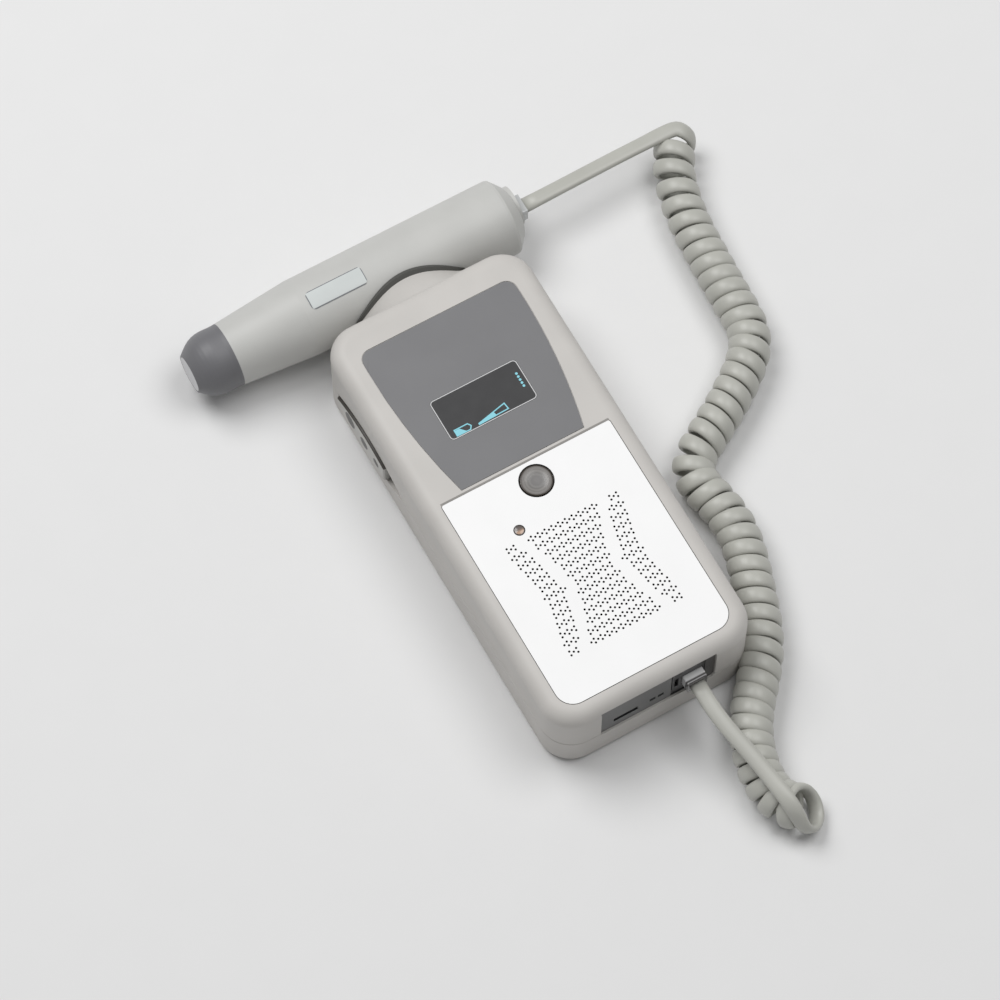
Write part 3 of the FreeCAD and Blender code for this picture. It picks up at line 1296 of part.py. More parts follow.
# ---------------------------------------------------------------- document
NODES = [
    "front_shell", "rear_shell", "front_cradle_liner", "rear_cradle_liner", "case_screws",
    "display_overlay", "display_lens", "display_module", "display_frame", "display_ribbon",
    "speaker_plate", "speaker_gasket", "speaker_frame", "speaker_cone", "speaker_magnet",
    "power_button", "button_guide", "power_switch", "light_pipe", "indicator_led",
    "main_board", "board_chips", "board_screws",
    "volume_rocker", "rocker_marks", "rocker_pin", "rocker_bracket", "volume_switches",
    "end_panel", "charging_port", "charge_lights", "unit_jack", "unit_jack_contacts",
    "battery_tray", "battery_cells", "battery_contacts", "battery_springs", "battery_door",
    "probe_body", "probe_nose", "probe_face", "probe_seal", "probe_label", "probe_crystals",
    "probe_backing", "probe_circuit", "probe_jack", "probe_jack_contacts",
    "unit_plug", "unit_plug_contacts", "probe_plug", "probe_plug_contacts",
    "probe_lead", "cord_coil", "unit_lead",
]


def build():
    fill_sheet()
    for make in (make_front_shell, make_rear_shell, make_screws, make_speaker_plate, make_display,
                 make_speaker, make_button, make_boards, make_rocker, make_batteries, make_door,
                 make_end_panel, make_plugs_and_sockets, make_probe_body, make_probe_nose,
                 make_probe_inside, make_cord):
        make()
    DOC.recompute()


def check():
    faults = [item.Name for item in DOC.Objects
              if "Invalid" in item.State or "Error" in item.State]
    for name in NODES:
        item = DOC.getObject(name)
        if item is None or item.Shape.isNull() or not item.Shape.isValid() or not item.Shape.Solids:
            faults.append(name)
    if faults:
        raise RuntimeError("failed objects: " + ", ".join(faults))


def write_nodes():
    os.makedirs("parts", exist_ok=True)
    for name in NODES:
        DOC.getObject(name).Shape.exportStep("parts/%s.step" % name)
    print("%d nodes written" % len(NODES))


build()
check()
write_nodes()
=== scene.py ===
"""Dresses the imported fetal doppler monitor: camera, light, cord, printed details and materials."""

import math

import bpy
import numpy as np
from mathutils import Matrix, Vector


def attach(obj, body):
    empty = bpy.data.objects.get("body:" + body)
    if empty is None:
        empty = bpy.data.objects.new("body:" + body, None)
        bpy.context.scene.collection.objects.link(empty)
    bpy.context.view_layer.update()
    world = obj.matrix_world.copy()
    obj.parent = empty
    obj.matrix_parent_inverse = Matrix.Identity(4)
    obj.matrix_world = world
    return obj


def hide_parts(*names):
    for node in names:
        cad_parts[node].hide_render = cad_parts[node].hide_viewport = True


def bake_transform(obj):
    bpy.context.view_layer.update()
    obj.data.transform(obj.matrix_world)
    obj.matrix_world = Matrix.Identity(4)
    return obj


MM = 0.001
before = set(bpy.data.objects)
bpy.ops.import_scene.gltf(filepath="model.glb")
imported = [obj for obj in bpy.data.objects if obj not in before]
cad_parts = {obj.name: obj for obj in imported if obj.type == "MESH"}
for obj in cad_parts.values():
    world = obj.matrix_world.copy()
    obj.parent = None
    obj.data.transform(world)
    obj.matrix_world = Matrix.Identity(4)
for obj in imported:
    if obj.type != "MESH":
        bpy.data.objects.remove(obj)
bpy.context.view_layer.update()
UNIT = "main_unit"
UP = np.array([0.0, 0.0, 1.0])

# ---------------------------------------------------------------- cord

# Route points in metres: the model's own cord routes, with points moved and added to follow the real lay.
PROBE_LEAD = [
    (0.0528, 0.1024, 0.0155),
    (0.0615, 0.1025, 0.0155),
    (0.0760, 0.1029, 0.0152),
    (0.0920, 0.1034, 0.0147),
    (0.1035, 0.1036, 0.0143),
    (0.1110, 0.1038, 0.0140),
]
COIL = [
    (0.1162, 0.1034), (0.1120, 0.0971), (0.1079, 0.0898), (0.1052, 0.0815), (0.1033, 0.0723),
    (0.1023, 0.0624), (0.1017, 0.0521), (0.1010, 0.0418), (0.1007, 0.0321), (0.0998, 0.0235),
    (0.0957, 0.0164), (0.0884, 0.0101), (0.0791, 0.0036), (0.0690, -0.0024), (0.0599, -0.0076),
    (0.0549, -0.0131), (0.0549, -0.0202), (0.0571, -0.0292), (0.0575, -0.0394), (0.0552, -0.0497),
    (0.0518, -0.0595), (0.0485, -0.0688), (0.0448, -0.0775), (0.0399, -0.0853), (0.0336, -0.0926),
    (0.0270, -0.1002), (0.0219, -0.1089), (0.0190, -0.1183), (0.0185, -0.1273), (0.0209, -0.1345),
    (0.0267, -0.1389),
]
COIL_HEIGHT = 0.0079
UNIT_LEAD = [
    (0.0133, -0.0863, 0.0227),
    (0.0132, -0.0925, 0.0226),
    (0.0141, -0.1025, 0.0210),
    (0.0169, -0.1145, 0.0190),
    (0.0187, -0.1260, 0.0178),
    (0.0199, -0.1345, 0.0172),
    (0.0204, -0.1392, 0.0150),
    (0.0210, -0.1420, 0.0115),
]
CORD_WIDTH = 0.0058
CORD_THICK = 0.0029
COIL_RADIUS = 0.00615
MOUTH_RADIUS = 0.0070
MOUTH_TILT = math.radians(42)
MOUTH_REACH = 0.016
# Turns made by each distance along the coil: they are tighter where the coil is pressed together.
TURNS_AT = [
    (0.0, 0.0), (0.0044, 0.5), (0.0113, 1.54), (0.0193, 2.5), (0.0330, 4.48), (0.0453, 6.42),
    (0.0570, 8.41), (0.0683, 10.41), (0.0808, 12.47), (0.0928, 14.53), (0.1117, 17.56), (0.1307, 20.56),
    (0.1379, 21.51), (0.1485, 23.43), (0.1673, 26.44), (0.1855, 29.46), (0.2040, 32.48), (0.2225, 35.51),
    (0.2389, 38.48), (0.2495, 40.39), (0.2801, 45.8),
]
POINTS_A_TURN = 16
CORD_SEGMENTS = 16
CORD_SQUARENESS = 2.4
# How far the probe's lead leans, and how far the unit lead's last points have turned to the coil's facing.
LEAD_LEAN = 0.18
UNIT_LEAD_TURN = [0.15, 0.40, 0.75]
AXIS_STEPS = 24
AXIS_SAMPLES = 1400
HEADING_REACH = 8
CORD_STEPS = 3


def spline_line(points, steps):
    """The points along a smooth NURBS spline that has these control points."""
    curve = bpy.data.curves.new("route", "CURVE")
    curve.dimensions = "3D"
    spline = curve.splines.new("NURBS")
    spline.points.add(len(points) - 1)
    for point, place in zip(spline.points, points):
        point.co = (*place, 1.0)
    spline.order_u = 3
    spline.use_endpoint_u = True
    spline.resolution_u = steps
    holder = bpy.data.objects.new("route", curve)
    mesh = bpy.data.meshes.new_from_object(holder)
    line = np.array([v.co for v in mesh.vertices], float)
    bpy.data.objects.remove(holder)
    bpy.data.curves.remove(curve)
    bpy.data.meshes.remove(mesh)
    return line


def lengths_along(line):
    steps = np.linalg.norm(np.diff(line, axis=0), axis=1)
    return np.concatenate([[0.0], np.cumsum(steps)])


def unit_rows(rows):
    return rows / np.linalg.norm(rows, axis=1, keepdims=True)


def tangents(line):
    return unit_rows(np.gradient(line, axis=0))


def smoothed(values, reach):
    kernel = np.hanning(2 * reach + 1)
    padded = np.pad(values, ((reach, reach), (0, 0)), mode="edge")
    columns = [np.convolve(column, kernel / kernel.sum(), mode="valid") for column in padded.T]
    return np.stack(columns, axis=1)


def helix_control():
    """Control points of the coil's turns and the outward direction at each of them."""
    axis = spline_line([(x, y, COIL_HEIGHT) for x, y in COIL], AXIS_STEPS)
    along = lengths_along(axis)
    fine = np.linspace(0.0, along[-1], AXIS_SAMPLES)
    axis = np.stack([np.interp(fine, along, column) for column in axis.T], axis=1)
    heading = unit_rows(smoothed(tangents(axis), HEADING_REACH))
    marks = np.array(TURNS_AT)
    turned = np.interp(fine, marks[:, 0] * fine[-1] / marks[-1, 0], marks[:, 1])
    turns = np.linspace(0.0, marks[-1, 1], int(round(marks[-1, 1] * POINTS_A_TURN)) + 1)
    where = np.interp(turns, turned, fine)
    keep_round = 1 / math.cos(math.pi / POINTS_A_TURN)
    points = []
    outward = []
    for turn, s in zip(turns * 2 * math.pi, where):
        centre = np.array([np.interp(s, fine, column) for column in axis.T])
        ahead = np.array([np.interp(s, fine, column) for column in heading.T])
        ahead /= np.linalg.norm(ahead)
        ease = max(0.0, 1.0 - (fine[-1] - s) / MOUTH_REACH)
        ease = ease * ease * (3 - 2 * ease)
        tilt = MOUTH_TILT * ease
        radius = (COIL_RADIUS + (MOUTH_RADIUS - COIL_RADIUS) * ease) * keep_round
        side = np.cross(ahead, UP)
        lean = math.cos(tilt) * UP - math.sin(tilt) * ahead
        out = math.cos(turn) * lean - math.sin(turn) * side
        points.append(centre + radius * out)
        outward.append(out)
    return points, outward


def cord_control():
    """The whole cord's control points, from the unit to the probe, and which way its flat side faces."""
    turns, outward = helix_control()
    lead_facing = [UP, *[np.array([0.0, LEAD_LEAN, 1.0])] * (len(PROBE_LEAD) - 2), UP]
    blend = [0.0] * (len(UNIT_LEAD) - len(UNIT_LEAD_TURN)) + UNIT_LEAD_TURN
    unit_facing = [UP * (1 - share) + outward[-1] * share for share in blend]
    points = list(PROBE_LEAD) + turns + list(reversed(UNIT_LEAD))
    facing = lead_facing + outward + list(reversed(unit_facing))
    points = np.array([np.array(p) for p in points])[::-1]
    return points, unit_rows(np.array(facing))[::-1]


def mesh_object(name, vertices, faces, smooth=True):
    mesh = bpy.data.meshes.new(name)
    mesh.from_pydata([tuple(v) for v in vertices], [], faces)
    mesh.update()
    if smooth:
        mesh.shade_smooth()
    obj = bpy.data.objects.new(name, mesh)
    bpy.context.collection.objects.link(obj)
    return obj


def ring_faces(rings, count):
    faces = []
    for i in range(rings - 1):
        for j in range(count):
            k = (j + 1) % count
            faces.append((i * count + j, i * count + k, (i + 1) * count + k, (i + 1) * count + j))
    faces.append(tuple(range(count))[::-1])
    faces.append(tuple((rings - 1) * count + j for j in range(count)))
    return faces


def make_cord():
    """A flat handset cord: its line is the spline, and its section turns with the facing direction."""
    control, facing = cord_control()
    line = spline_line(control, CORD_STEPS)
    toward = spline_line(control + facing * MM, CORD_STEPS) - line
    t = tangents(line)
    normal = toward - t * np.sum(toward * t, axis=1, keepdims=True)
    normal = unit_rows(normal)
    across = np.cross(t, normal)
    angles = np.arange(CORD_SEGMENTS) * 2 * math.pi / CORD_SEGMENTS
    power = 2.0 / CORD_SQUARENESS
    wide = np.sign(np.cos(angles)) * np.abs(np.cos(angles)) ** power * CORD_WIDTH / 2
    thick = np.sign(np.sin(angles)) * np.abs(np.sin(angles)) ** power * CORD_THICK / 2
    vertices = []
    for place, side, out in zip(line, across, normal):
        vertices.extend(place + side * w + out * h for w, h in zip(wide, thick))
    cord = mesh_object("curly_cord", vertices, ring_faces(len(line), CORD_SEGMENTS))
    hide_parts("probe_lead", "cord_coil", "unit_lead")
    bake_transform(cord)
    return cord


# ---------------------------------------------------------------- printed details

CASE_TOP = 0.0365
PRINT_THICK = 0.00005
# In millimetres from here on. The window is x, y, width, length and corner radius.
WINDOW = (-0.9, 35.1, 33.8, 16.4, 1.5)
WINDOW_LINE = 0.32
ICON_LINE = 0.42
BATTERY = [(-15.5, 30.2), (-10.0, 30.2), (-9.0, 28.8), (-10.0, 27.4), (-15.5, 27.4)]
BATTERY_FILL = [(-15.5, 29.7), (-13.4, 29.7), (-11.2, 27.4), (-15.5, 27.4)]
WEDGE = [(-6.8, 28.3), (4.8, 30.8), (5.2, 27.9), (-6.8, 27.5)]
WEDGE_FILL = [(-6.8, 28.3), (-0.2, 29.7), (0.3, 27.7), (-6.8, 27.5)]
DOTS_X = 13.8
DOTS_Y = [38.2, 36.9, 35.6, 34.3, 33.0]
DOT_RADIUS = 0.48
DOT_SIDES = 16
MITRE_LEAST = 0.3


def rounded_outline(x, y, width, length, corner, steps=6):
    points = []
    for quarter in range(4):
        turn = quarter * math.pi / 2
        sx = 1 if quarter in (0, 3) else -1
        sy = 1 if quarter in (0, 1) else -1
        cx, cy = x + sx * (width / 2 - corner), y + sy * (length / 2 - corner)
        for step in range(steps + 1):
            angle = turn + step * math.pi / 2 / steps
            points.append((cx + corner * math.cos(angle), cy + corner * math.sin(angle)))
    return points


def runs_counter_clockwise(points):
    p = np.array(points, float)
    return np.sum(p[:, 0] * np.roll(p[:, 1], -1) - np.roll(p[:, 0], -1) * p[:, 1]) > 0


def counter_clockwise(points):
    return list(points) if runs_counter_clockwise(points) else list(points)[::-1]


def inset(points, reach):
    """The outline moved inwards by reach, corner by corner."""
    p = np.array(points, float)
    turn = 1.0 if runs_counter_clockwise(points) else -1.0
    step = unit_rows(np.roll(p, -1, axis=0) - p)
    normal = np.stack([-step[:, 1], step[:, 0]], axis=1) * turn
    before = np.roll(normal, 1, axis=0)
    both = unit_rows(normal + before)
    return p + both * (reach / np.maximum(np.sum(both * normal, axis=1), MITRE_LEAST))[:, None]


def add_prism(vertices, faces, outline, bottom, top):
    start, count = len(vertices), len(outline)
    for z in (bottom, top):
        vertices.extend((x * MM, y * MM, z) for x, y in outline)
    faces.append([start + count + j for j in range(count)])
    faces.append([start + j for j in range(count)][::-1])
    for j in range(count):
        k = (j + 1) % count
        faces.append((start + j, start + k, start + count + k, start + count + j))


def add_frame(vertices, faces, outline, width, bottom, top):
    inner = inset(outline, width)
    start, count = len(vertices), len(outline)
    for loop in (outline, inner):
        for z in (bottom, top):
            vertices.extend((x * MM, y * MM, z) for x, y in loop)
    out_low, out_high, in_low, in_high = [start + n * count for n in range(4)]
    for j in range(count):
        k = (j + 1) % count
        faces.append((out_low + j, out_low + k, out_high + k, out_high + j))
        faces.append((in_low + k, in_low + j, in_high + j, in_high + k))
        faces.append((out_high + j, out_high + k, in_high + k, in_high + j))
        faces.append((out_low + k, out_low + j, in_low + j, in_low + k))


def make_prints(finish):
    """The window's outline and the generic signs that the display shows behind it."""
    low, high = CASE_TOP, CASE_TOP + PRINT_THICK
    vertices, faces = [], []
    add_frame(vertices, faces, rounded_outline(*WINDOW), WINDOW_LINE, low, high)
    outline = mesh_object("window_outline", vertices, faces, smooth=False)
    paint(outline, finish["print"])

    vertices, faces = [], []
    for shape in (BATTERY, WEDGE):
        add_frame(vertices, faces, counter_clockwise(shape), ICON_LINE, low, high)
    for shape in (BATTERY_FILL, WEDGE_FILL):
        add_prism(vertices, faces, counter_clockwise(shape), low, high + PRINT_THICK / 2)
    for y in DOTS_Y:
        angles = np.arange(DOT_SIDES) * 2 * math.pi / DOT_SIDES
        dot = [(DOTS_X + DOT_RADIUS * math.cos(a), y + DOT_RADIUS * math.sin(a)) for a in angles]
        add_prism(vertices, faces, dot, low, high)
    signs = mesh_object("display_signs", vertices, faces, smooth=False)
    paint(signs, finish["lit"])
    for piece in (outline, signs):
        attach(piece, UNIT)


# ---------------------------------------------------------------- materials

# Places and sizes on the pieces, in millimetres.
LABEL = (-22.95, 100.4, 21.9, 6.8)
LABEL_LINE = 0.3
BUTTON_AT = (0.0, 0.0)
BUTTON_RADIUS = 5.75
# Painted shade and painted highlight rings on the button, for its bevel and dish; the darkest outer rings
# are painted shade in the gap round it.
BUTTON_PAINTED_SHADE_RINGS = [
    (0.0, (124, 122, 121)), (0.30, (118, 116, 115)), (0.42, (130, 128, 126)), (0.52, (118, 116, 114)),
    (0.63, (138, 135, 132)), (0.72, (120, 117, 114)), (0.80, (128, 125, 122)), (0.88, (112, 108, 105)),
    (0.93, (66, 59, 52)), (1.0, (52, 45, 38)),
]
PIPE = (-14.1, -13.1)
PIPE_RADIUS = 1.7
PIPE_RIM = 1.5
# Painted light on the light pipe's bead: warm and lit towards -y, shaded towards +y, with painted shade on
# its rim in the hole.
PIPE_PAINTED_LIGHT_TONES = [(0.0, (176, 146, 124)), (0.32, (188, 156, 132)), (0.55, (116, 104, 97)), (1.0, (84, 80, 80))]
PIPE_PAINTED_RIM_SHADE = (84, 78, 74)
HOLLOW_X = (5.0, 18.1)
# Painted shade on the end panel: in the hollow round the socket, on the face beside it and on its ledges.
HOLLOW_PAINTED_SHADE = (62, 61, 62)
BESIDE_PAINTED_SHADE = (82, 80, 79)
LEDGE_PAINTED_SHADE = (36, 36, 37)
PLUG_Y = (-86.3, -80.3)
# Painted highlights and painted shade across the clear plugs: a bright highlight bar in the middle of the
# length, with painted shade bands towards the cord end and towards the socket.
PLUG_PAINTED_HIGHLIGHT_BANDS = [
    (0.0, (96, 94, 94)), (0.06, (96, 94, 94)), (0.10, (214, 214, 214)), (0.16, (90, 88, 88)),
    (0.22, (120, 118, 118)), (0.28, (252, 252, 252)), (0.55, (246, 246, 246)), (0.72, (150, 148, 148)),
    (0.90, (110, 108, 108)), (1.0, (204, 206, 206)),
]
STEEP = 0.5
# Noise scales are per metre.
TONE_SCALE = 60.0
TONE_FROM, TONE_TO = 0.3, 0.7
GLOSS_SCALE = 240.0
GLOSS_SPREAD = 0.05
LEAST_ROUGH = 0.02
BUMP_DEPTH = 0.0002

def linear(colour):
    return tuple((c / 255 / 12.92) if c <= 10 else ((c / 255 + 0.055) / 1.055) ** 2.4 for c in colour)


def new_material(name):
    material = bpy.data.materials.new(name)
    material.use_nodes = True
    tree = material.node_tree
    return material, tree, tree.nodes["Principled BSDF"]


def noise(tree, scale, detail=3.0):
    place = tree.nodes.new("ShaderNodeTexCoord")
    node = tree.nodes.new("ShaderNodeTexNoise")
    node.inputs["Scale"].default_value = scale
    node.inputs["Detail"].default_value = detail
    tree.links.new(place.outputs["Object"], node.inputs["Vector"])
    return node.outputs["Fac"]


def ramp(tree, source, stops):
    """Colours at places from 0 to 1 of the source value."""
    node = tree.nodes.new("ShaderNodeValToRGB")
    marks = node.color_ramp.elements
    while len(marks) < len(stops):
        marks.new(0.5)
    for mark, (position, _) in zip(marks, stops):
        mark.position = position
    for mark, (_, colour) in zip(marks, stops):
        mark.color = (*colour, 1.0)
    tree.links.new(source, node.inputs["Fac"])
    return node.outputs["Color"]


def tone_ramp(tree, source, stops):
    """The same with screen colours from 0 to 255."""
    return ramp(tree, source, [(at, linear(colour)) for at, colour in stops])


def maths(tree, operation, first, second=0.0):
    node = tree.nodes.new("ShaderNodeMath")
    node.operation = operation
    for socket, item in zip(node.inputs, (first, second)):
        if isinstance(item, (int, float)):
            socket.default_value = item
        else:
            tree.links.new(item, socket)
    return node.outputs["Value"]


def coordinates(tree, kind):
    """The x, y and z sockets of the object's place or of its normal."""
    place = tree.nodes.new("ShaderNodeTexCoord")
    split = tree.nodes.new("ShaderNodeSeparateXYZ")
    tree.links.new(place.outputs[kind], split.inputs["Vector"])
    return [split.outputs[axis] for axis in "XYZ"]


def spread(tree, source, low, high):
    """The source value mapped from low..high to 0..1."""
    return maths(tree, "DIVIDE", maths(tree, "SUBTRACT", source, low), high - low)


def mixed(tree, share, first, second):
    """First where share is 0, second where it is 1."""
    node = tree.nodes.new("ShaderNodeMix")
    node.data_type = "RGBA"
    sockets = [s for s in node.inputs if s.type == "RGBA"]
    tree.links.new(share, node.inputs["Factor"])
    for socket, item in zip(sockets, (first, second)):
        if isinstance(item, tuple):
            socket.default_value = (*item, 1.0)
        else:
            tree.links.new(item, socket)
    return next(s for s in node.outputs if s.type == "RGBA")


def distance_from(tree, x, y):
    """How far each place is from a point, seen from above."""
    place = coordinates(tree, "Object")
    across = [maths(tree, "SUBTRACT", place[n], (x, y)[n] * MM) for n in range(2)]
    square = maths(tree, "ADD", *[maths(tree, "MULTIPLY", item, item) for item in across])
    return maths(tree, "SQRT", square)


def painted_shade_walls(colour):
    """Painted shade: paints the walls, which stand upright, in a darker colour, as the shade that falls in
    gaps and holes.
    """
    def shade(tree, base):
        upright = maths(tree, "LESS_THAN", maths(tree, "ABSOLUTE", coordinates(tree, "Normal")[2]), STEEP)
        return mixed(tree, upright, base, linear(colour))
    return shade


def painted_shade_ledges(colour):
    """Painted shade: paints what faces up in a darker colour, as the shade on ledges, in slits and along
    grooves.
    """
    def shade(tree, base):
        ledge = maths(tree, "GREATER_THAN", coordinates(tree, "Normal")[2], STEEP)
        return mixed(tree, ledge, base, linear(colour))
    return shade


def rings(stops, x, y, radius):
    """Paints rings round a point, by shares of a radius."""
    def shade(tree, base):
        return tone_ramp(tree, maths(tree, "DIVIDE", distance_from(tree, x, y), radius * MM), stops)
    return shade


def framed(colour, x, y, width, length, line):
    """Paints a thin line along a rectangle's edges."""
    def shade(tree, base):
        place = coordinates(tree, "Object")
        reach = []
        for n in range(2):
            off = maths(tree, "ABSOLUTE", maths(tree, "SUBTRACT", place[n], (x, y)[n] * MM))
            reach.append(maths(tree, "SUBTRACT", off, (width, length)[n] / 2 * MM))
        edge = maths(tree, "GREATER_THAN", maths(tree, "MAXIMUM", *reach), -line * MM)
        return mixed(tree, edge, base, linear(colour))
    return shade


def banded(stops, axis, low, high):
    """Paints bands across an axis, by shares of the way from low to high."""
    def shade(tree, base):
        share = spread(tree, coordinates(tree, "Object")["xyz".index(axis)], low * MM, high * MM)
        return tone_ramp(tree, share, stops)
    return shade


def panel_painted_shade(tree, base):
    """Painted shade on the panel: its ledges are dark, and so are the hollow round the socket and the face
    beside it.
    """
    beside = coordinates(tree, "Object")[0]
    hollow = maths(tree, "GREATER_THAN", beside, HOLLOW_X[0] * MM)
    past = maths(tree, "GREATER_THAN", beside, HOLLOW_X[1] * MM)
    tone = mixed(tree, past, mixed(tree, hollow, base, linear(HOLLOW_PAINTED_SHADE)), linear(BESIDE_PAINTED_SHADE))
    return painted_shade_ledges(LEDGE_PAINTED_SHADE)(tree, tone)


def pipe_painted_light(tree, base):
    """A clear bead with painted light: painted shade above, a warm painted lit tone below, and a painted
    shaded rim.
    """
    low, high = (PIPE[1] - PIPE_RADIUS) * MM, (PIPE[1] + PIPE_RADIUS) * MM
    height = spread(tree, coordinates(tree, "Object")[1], low, high)
    rim = maths(tree, "GREATER_THAN", distance_from(tree, *PIPE), PIPE_RIM * MM)
    return mixed(tree, rim, tone_ramp(tree, height, PIPE_PAINTED_LIGHT_TONES), linear(PIPE_PAINTED_RIM_SHADE))


def surface(name, colour, rough=0.5, metal=0.0, grain=900.0, bump=0.04, vary=0.03, coat=0.0, clear=0.0,
            spec=0.5, shade=None):
    """A moulded or metal surface: slightly uneven colour, uneven gloss and a fine grain."""
    material, tree, shader = new_material(name)
    base = np.array(linear(colour))
    low, high = tuple(base * (1 - vary)), tuple(np.minimum(base * (1 + vary), 1.0))
    body = ramp(tree, noise(tree, TONE_SCALE), [(TONE_FROM, low), (TONE_TO, high)])
    if shade:
        body = shade(tree, body)
    tree.links.new(body, shader.inputs["Base Color"])
    gloss = tree.nodes.new("ShaderNodeMapRange")
    gloss.inputs["To Min"].default_value = max(LEAST_ROUGH, rough - GLOSS_SPREAD)
    gloss.inputs["To Max"].default_value = min(1.0, rough + GLOSS_SPREAD)
    tree.links.new(noise(tree, GLOSS_SCALE), gloss.inputs["Value"])
    tree.links.new(gloss.outputs["Result"], shader.inputs["Roughness"])
    if bump:
        relief = tree.nodes.new("ShaderNodeBump")
        relief.inputs["Strength"].default_value = bump
        relief.inputs["Distance"].default_value = BUMP_DEPTH
        tree.links.new(noise(tree, grain), relief.inputs["Height"])
        tree.links.new(relief.outputs["Normal"], shader.inputs["Normal"])
    shader.inputs["Metallic"].default_value = metal
    shader.inputs["Coat Weight"].default_value = coat
    shader.inputs["Transmission Weight"].default_value = clear
    shader.inputs["Specular IOR Level"].default_value = spec
    return material


def materials():
    """Colours are screen colours from 0 to 255, followed by the roughness."""
    label = framed((112, 116, 120), *LABEL, LABEL_LINE)
    return {
        "case": surface("case_plastic", (199, 196, 192), 0.50, grain=1400, bump=0.10, spec=0.4),
        "liner": surface("liner_rubber", (78, 78, 75), 0.65, grain=2200, bump=0.15),
        # Painted shade on the overlay's walls and on the plate's walls, in its holes and in the gap round
        # it.
        "overlay": surface("overlay_film", (116, 116, 118), 0.42, grain=2600, bump=0.06,
                           shade=painted_shade_walls((72, 70, 74))),
        "window": surface("smoked_window", (71, 71, 72), 0.16, grain=400, bump=0.0, coat=0.3),
        "plate": surface("satin_plate", (247, 247, 247), 0.38, grain=3000, bump=0.03, vary=0.01,
                         shade=painted_shade_walls((58, 54, 48))),
        # The button's colour is painted shade and highlight rings.
        "button": surface("smoked_button", (128, 126, 124), 0.34, grain=800, bump=0.02, coat=0.08,
                          shade=rings(BUTTON_PAINTED_SHADE_RINGS, *BUTTON_AT, BUTTON_RADIUS)),
        # The light pipe's colour is painted light and shade.
        "amber": surface("amber_pipe", (150, 118, 92), 0.25, grain=800, bump=0.0, coat=0.5, shade=pipe_painted_light),
        # Painted shade on the rocker's upward-facing edge, as the dark groove along it.
        "rocker": surface("rocker_plastic", (190, 189, 185), 0.42, grain=1800, bump=0.08,
                          shade=painted_shade_ledges((66, 62, 58))),
        "mark": surface("mark_ink", (98, 97, 96), 0.5, grain=1800, bump=0.05),
        # The panel gets painted shade round the socket and on its ledges.
        "panel": surface("panel_plastic", (108, 108, 108), 0.42, grain=1800, bump=0.08, shade=panel_painted_shade),
        "slot": surface("slot_black", (20, 20, 21), 0.6, grain=1500, bump=0.05, spec=0.2),
        "socket": surface("socket_black", (48, 48, 49), 0.4, grain=1500, bump=0.05),
        "gold": surface("gold_contact", (222, 178, 96), 0.25, metal=1.0, grain=1500, bump=0.02),
        "steel": surface("bright_steel", (190, 190, 192), 0.28, metal=1.0, grain=1500, bump=0.03),
        "dark": surface("dark_plastic", (60, 60, 62), 0.5, grain=1500, bump=0.06),
        "circuit": surface("circuit_green", (38, 92, 60), 0.4, grain=1500, bump=0.05),
        "cell": surface("cell_sleeve", (70, 96, 120), 0.35, grain=900, bump=0.02),
        "natural": surface("natural_plastic", (214, 212, 204), 0.5, grain=1200, bump=0.05),
        "paper": surface("cone_paper", (52, 50, 48), 0.8, grain=3000, bump=0.3),
        "foam": surface("foam_black", (48, 48, 48), 0.95, grain=4000, bump=0.6),
        "brown": surface("flat_cable", (178, 122, 62), 0.35, grain=900, bump=0.02),
        "probe": surface("probe_plastic", (194, 194, 191), 0.46, grain=1400, bump=0.08),
        "nose": surface("nose_plastic", (112, 112, 115), 0.46, grain=1400, bump=0.06),
        "face": surface("face_plastic", (206, 206, 208), 0.35, grain=1400, bump=0.04),
        "label": surface("label_film", (202, 207, 206), 0.35, grain=1400, bump=0.02, shade=label),
        "ceramic": surface("ceramic", (225, 220, 205), 0.5, grain=1400, bump=0.05),
        # The clear plugs get painted highlight and shade bands.
        "clear": surface("clear_plug", (238, 240, 240), 0.10, grain=400, bump=0.0, clear=0.12, coat=0.6,
                         shade=banded(PLUG_PAINTED_HIGHLIGHT_BANDS, "y", *PLUG_Y)),
        "cable": surface("cord_jacket", (182, 182, 175), 0.38, grain=1200, bump=0.03),
        "print": surface("white_print", (205, 205, 206), 0.5, grain=3000, bump=0.02),
        "lit": surface("lit_signs", (138, 212, 226), 0.5, grain=3000, bump=0.0),
    }


FINISH = {
    "case": ["front_shell", "rear_shell", "battery_door"],
    "liner": ["front_cradle_liner", "rear_cradle_liner"],
    "overlay": ["display_overlay"],
    "window": ["display_lens"],
    "plate": ["speaker_plate"],
    "button": ["power_button"],
    "amber": ["light_pipe", "indicator_led"],
    "rocker": ["volume_rocker"],
    "mark": ["rocker_marks"],
    "panel": ["end_panel"],
    "socket": ["unit_jack", "probe_jack"],
    "slot": ["charging_port", "charge_lights"],
    "gold": ["unit_jack_contacts", "probe_jack_contacts", "unit_plug_contacts", "probe_plug_contacts"],
    "steel": ["speaker_magnet", "rocker_pin", "case_screws", "board_screws", "battery_springs",
              "battery_contacts"],
    "dark": ["display_module", "speaker_frame", "power_switch", "volume_switches", "board_chips",
             "probe_backing"],
    "circuit": ["main_board", "probe_circuit"],
    "cell": ["battery_cells"],
    "natural": ["display_frame", "button_guide", "rocker_bracket", "battery_tray"],
    "paper": ["speaker_cone"],
    "foam": ["speaker_gasket", "probe_seal"],
    "brown": ["display_ribbon"],
    "probe": ["probe_body"],
    "nose": ["probe_nose"],
    "face": ["probe_face"],
    "label": ["probe_label"],
    "ceramic": ["probe_crystals"],
    "clear": ["unit_plug", "probe_plug"],
}


def paint(obj, material):
    obj.data.materials.clear()
    obj.data.materials.append(material)


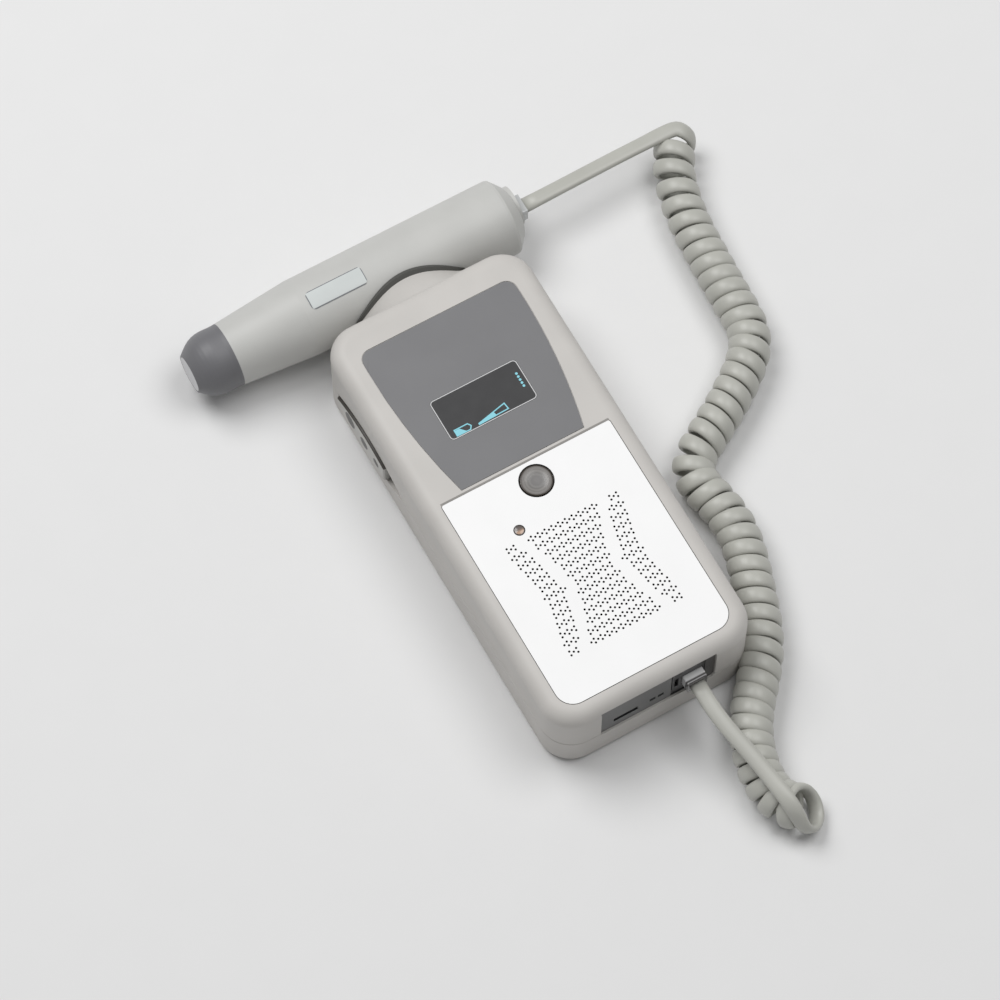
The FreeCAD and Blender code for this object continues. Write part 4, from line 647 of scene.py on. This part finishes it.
def dress_nodes(finish):
    for key, names in FINISH.items():
        for name in names:
            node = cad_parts[name]
            for slot in node.material_slots:
                slot.material = finish[key]


# ---------------------------------------------------------------- stage

LOOK_AT = Vector((-0.00656, 0.01357, 0.0))
AZIMUTH = math.radians(-29.44)
ELEVATION = math.radians(66.61)
DISTANCE = 1.5607
# Half the picture's width over the distance to it, both in pixels.
FIELD_OF_VIEW = 2 * math.atan(500 / 4487.9)
SENSOR_WIDTH = 36.0
# Each lamp's name, place, size in metres and power in watts.
LAMPS = [
    ("key", (-0.40, 0.9, 1.6), 1.2, 19.5),
    ("fill", (0.75, -0.1, 1.8), 1.2, 13.0),
]
WORLD_GREY = 0.82
WORLD_STRENGTH = 0.30
FLOOR_REACH = 3
FLOOR_HEIGHT = -0.0002


def make_camera():
    back = Vector((math.sin(AZIMUTH) * math.cos(ELEVATION), -math.cos(AZIMUTH) * math.cos(ELEVATION),
                   math.sin(ELEVATION)))
    data = bpy.data.cameras.new("camera")
    data.sensor_width = SENSOR_WIDTH
    data.lens = SENSOR_WIDTH / 2 / math.tan(FIELD_OF_VIEW / 2)
    camera = bpy.data.objects.new("camera", data)
    camera.location = LOOK_AT + back * DISTANCE
    camera.rotation_euler = (-back).to_track_quat("-Z", "Y").to_euler()
    bpy.context.collection.objects.link(camera)
    bpy.context.scene.camera = camera


def soft_light(name, place, size, power):
    data = bpy.data.lights.new(name, "AREA")
    data.shape = "DISK"
    data.size = size
    data.energy = power
    light = bpy.data.objects.new(name, data)
    light.location = place
    light.rotation_euler = (LOOK_AT - Vector(place)).to_track_quat("-Z", "Y").to_euler()
    bpy.context.collection.objects.link(light)


def make_world():
    world = bpy.data.worlds.new("studio")
    world.use_nodes = True
    background = world.node_tree.nodes["Background"]
    background.inputs["Color"].default_value = (WORLD_GREY, WORLD_GREY, WORLD_GREY, 1.0)
    background.inputs["Strength"].default_value = WORLD_STRENGTH
    bpy.context.scene.world = world


def make_floor():
    signs = [(-1, -1), (1, -1), (1, 1), (-1, 1)]
    corners = [(x * FLOOR_REACH, y * FLOOR_REACH, FLOOR_HEIGHT) for x, y in signs]
    floor = mesh_object("floor", corners, [(0, 1, 2, 3)], smooth=False)
    paint(floor, surface("floor_paper", (230, 230, 230), 0.8, grain=300, bump=0.0, vary=0.004, spec=0.1))


def main():
    bpy.context.scene.view_settings.view_transform = "Standard"
    make_camera()
    make_world()
    for lamp in LAMPS:
        soft_light(*lamp)
    make_floor()
    finish = materials()
    dress_nodes(finish)
    cord = make_cord()
    paint(cord, finish["cable"])
    make_prints(finish)


main()
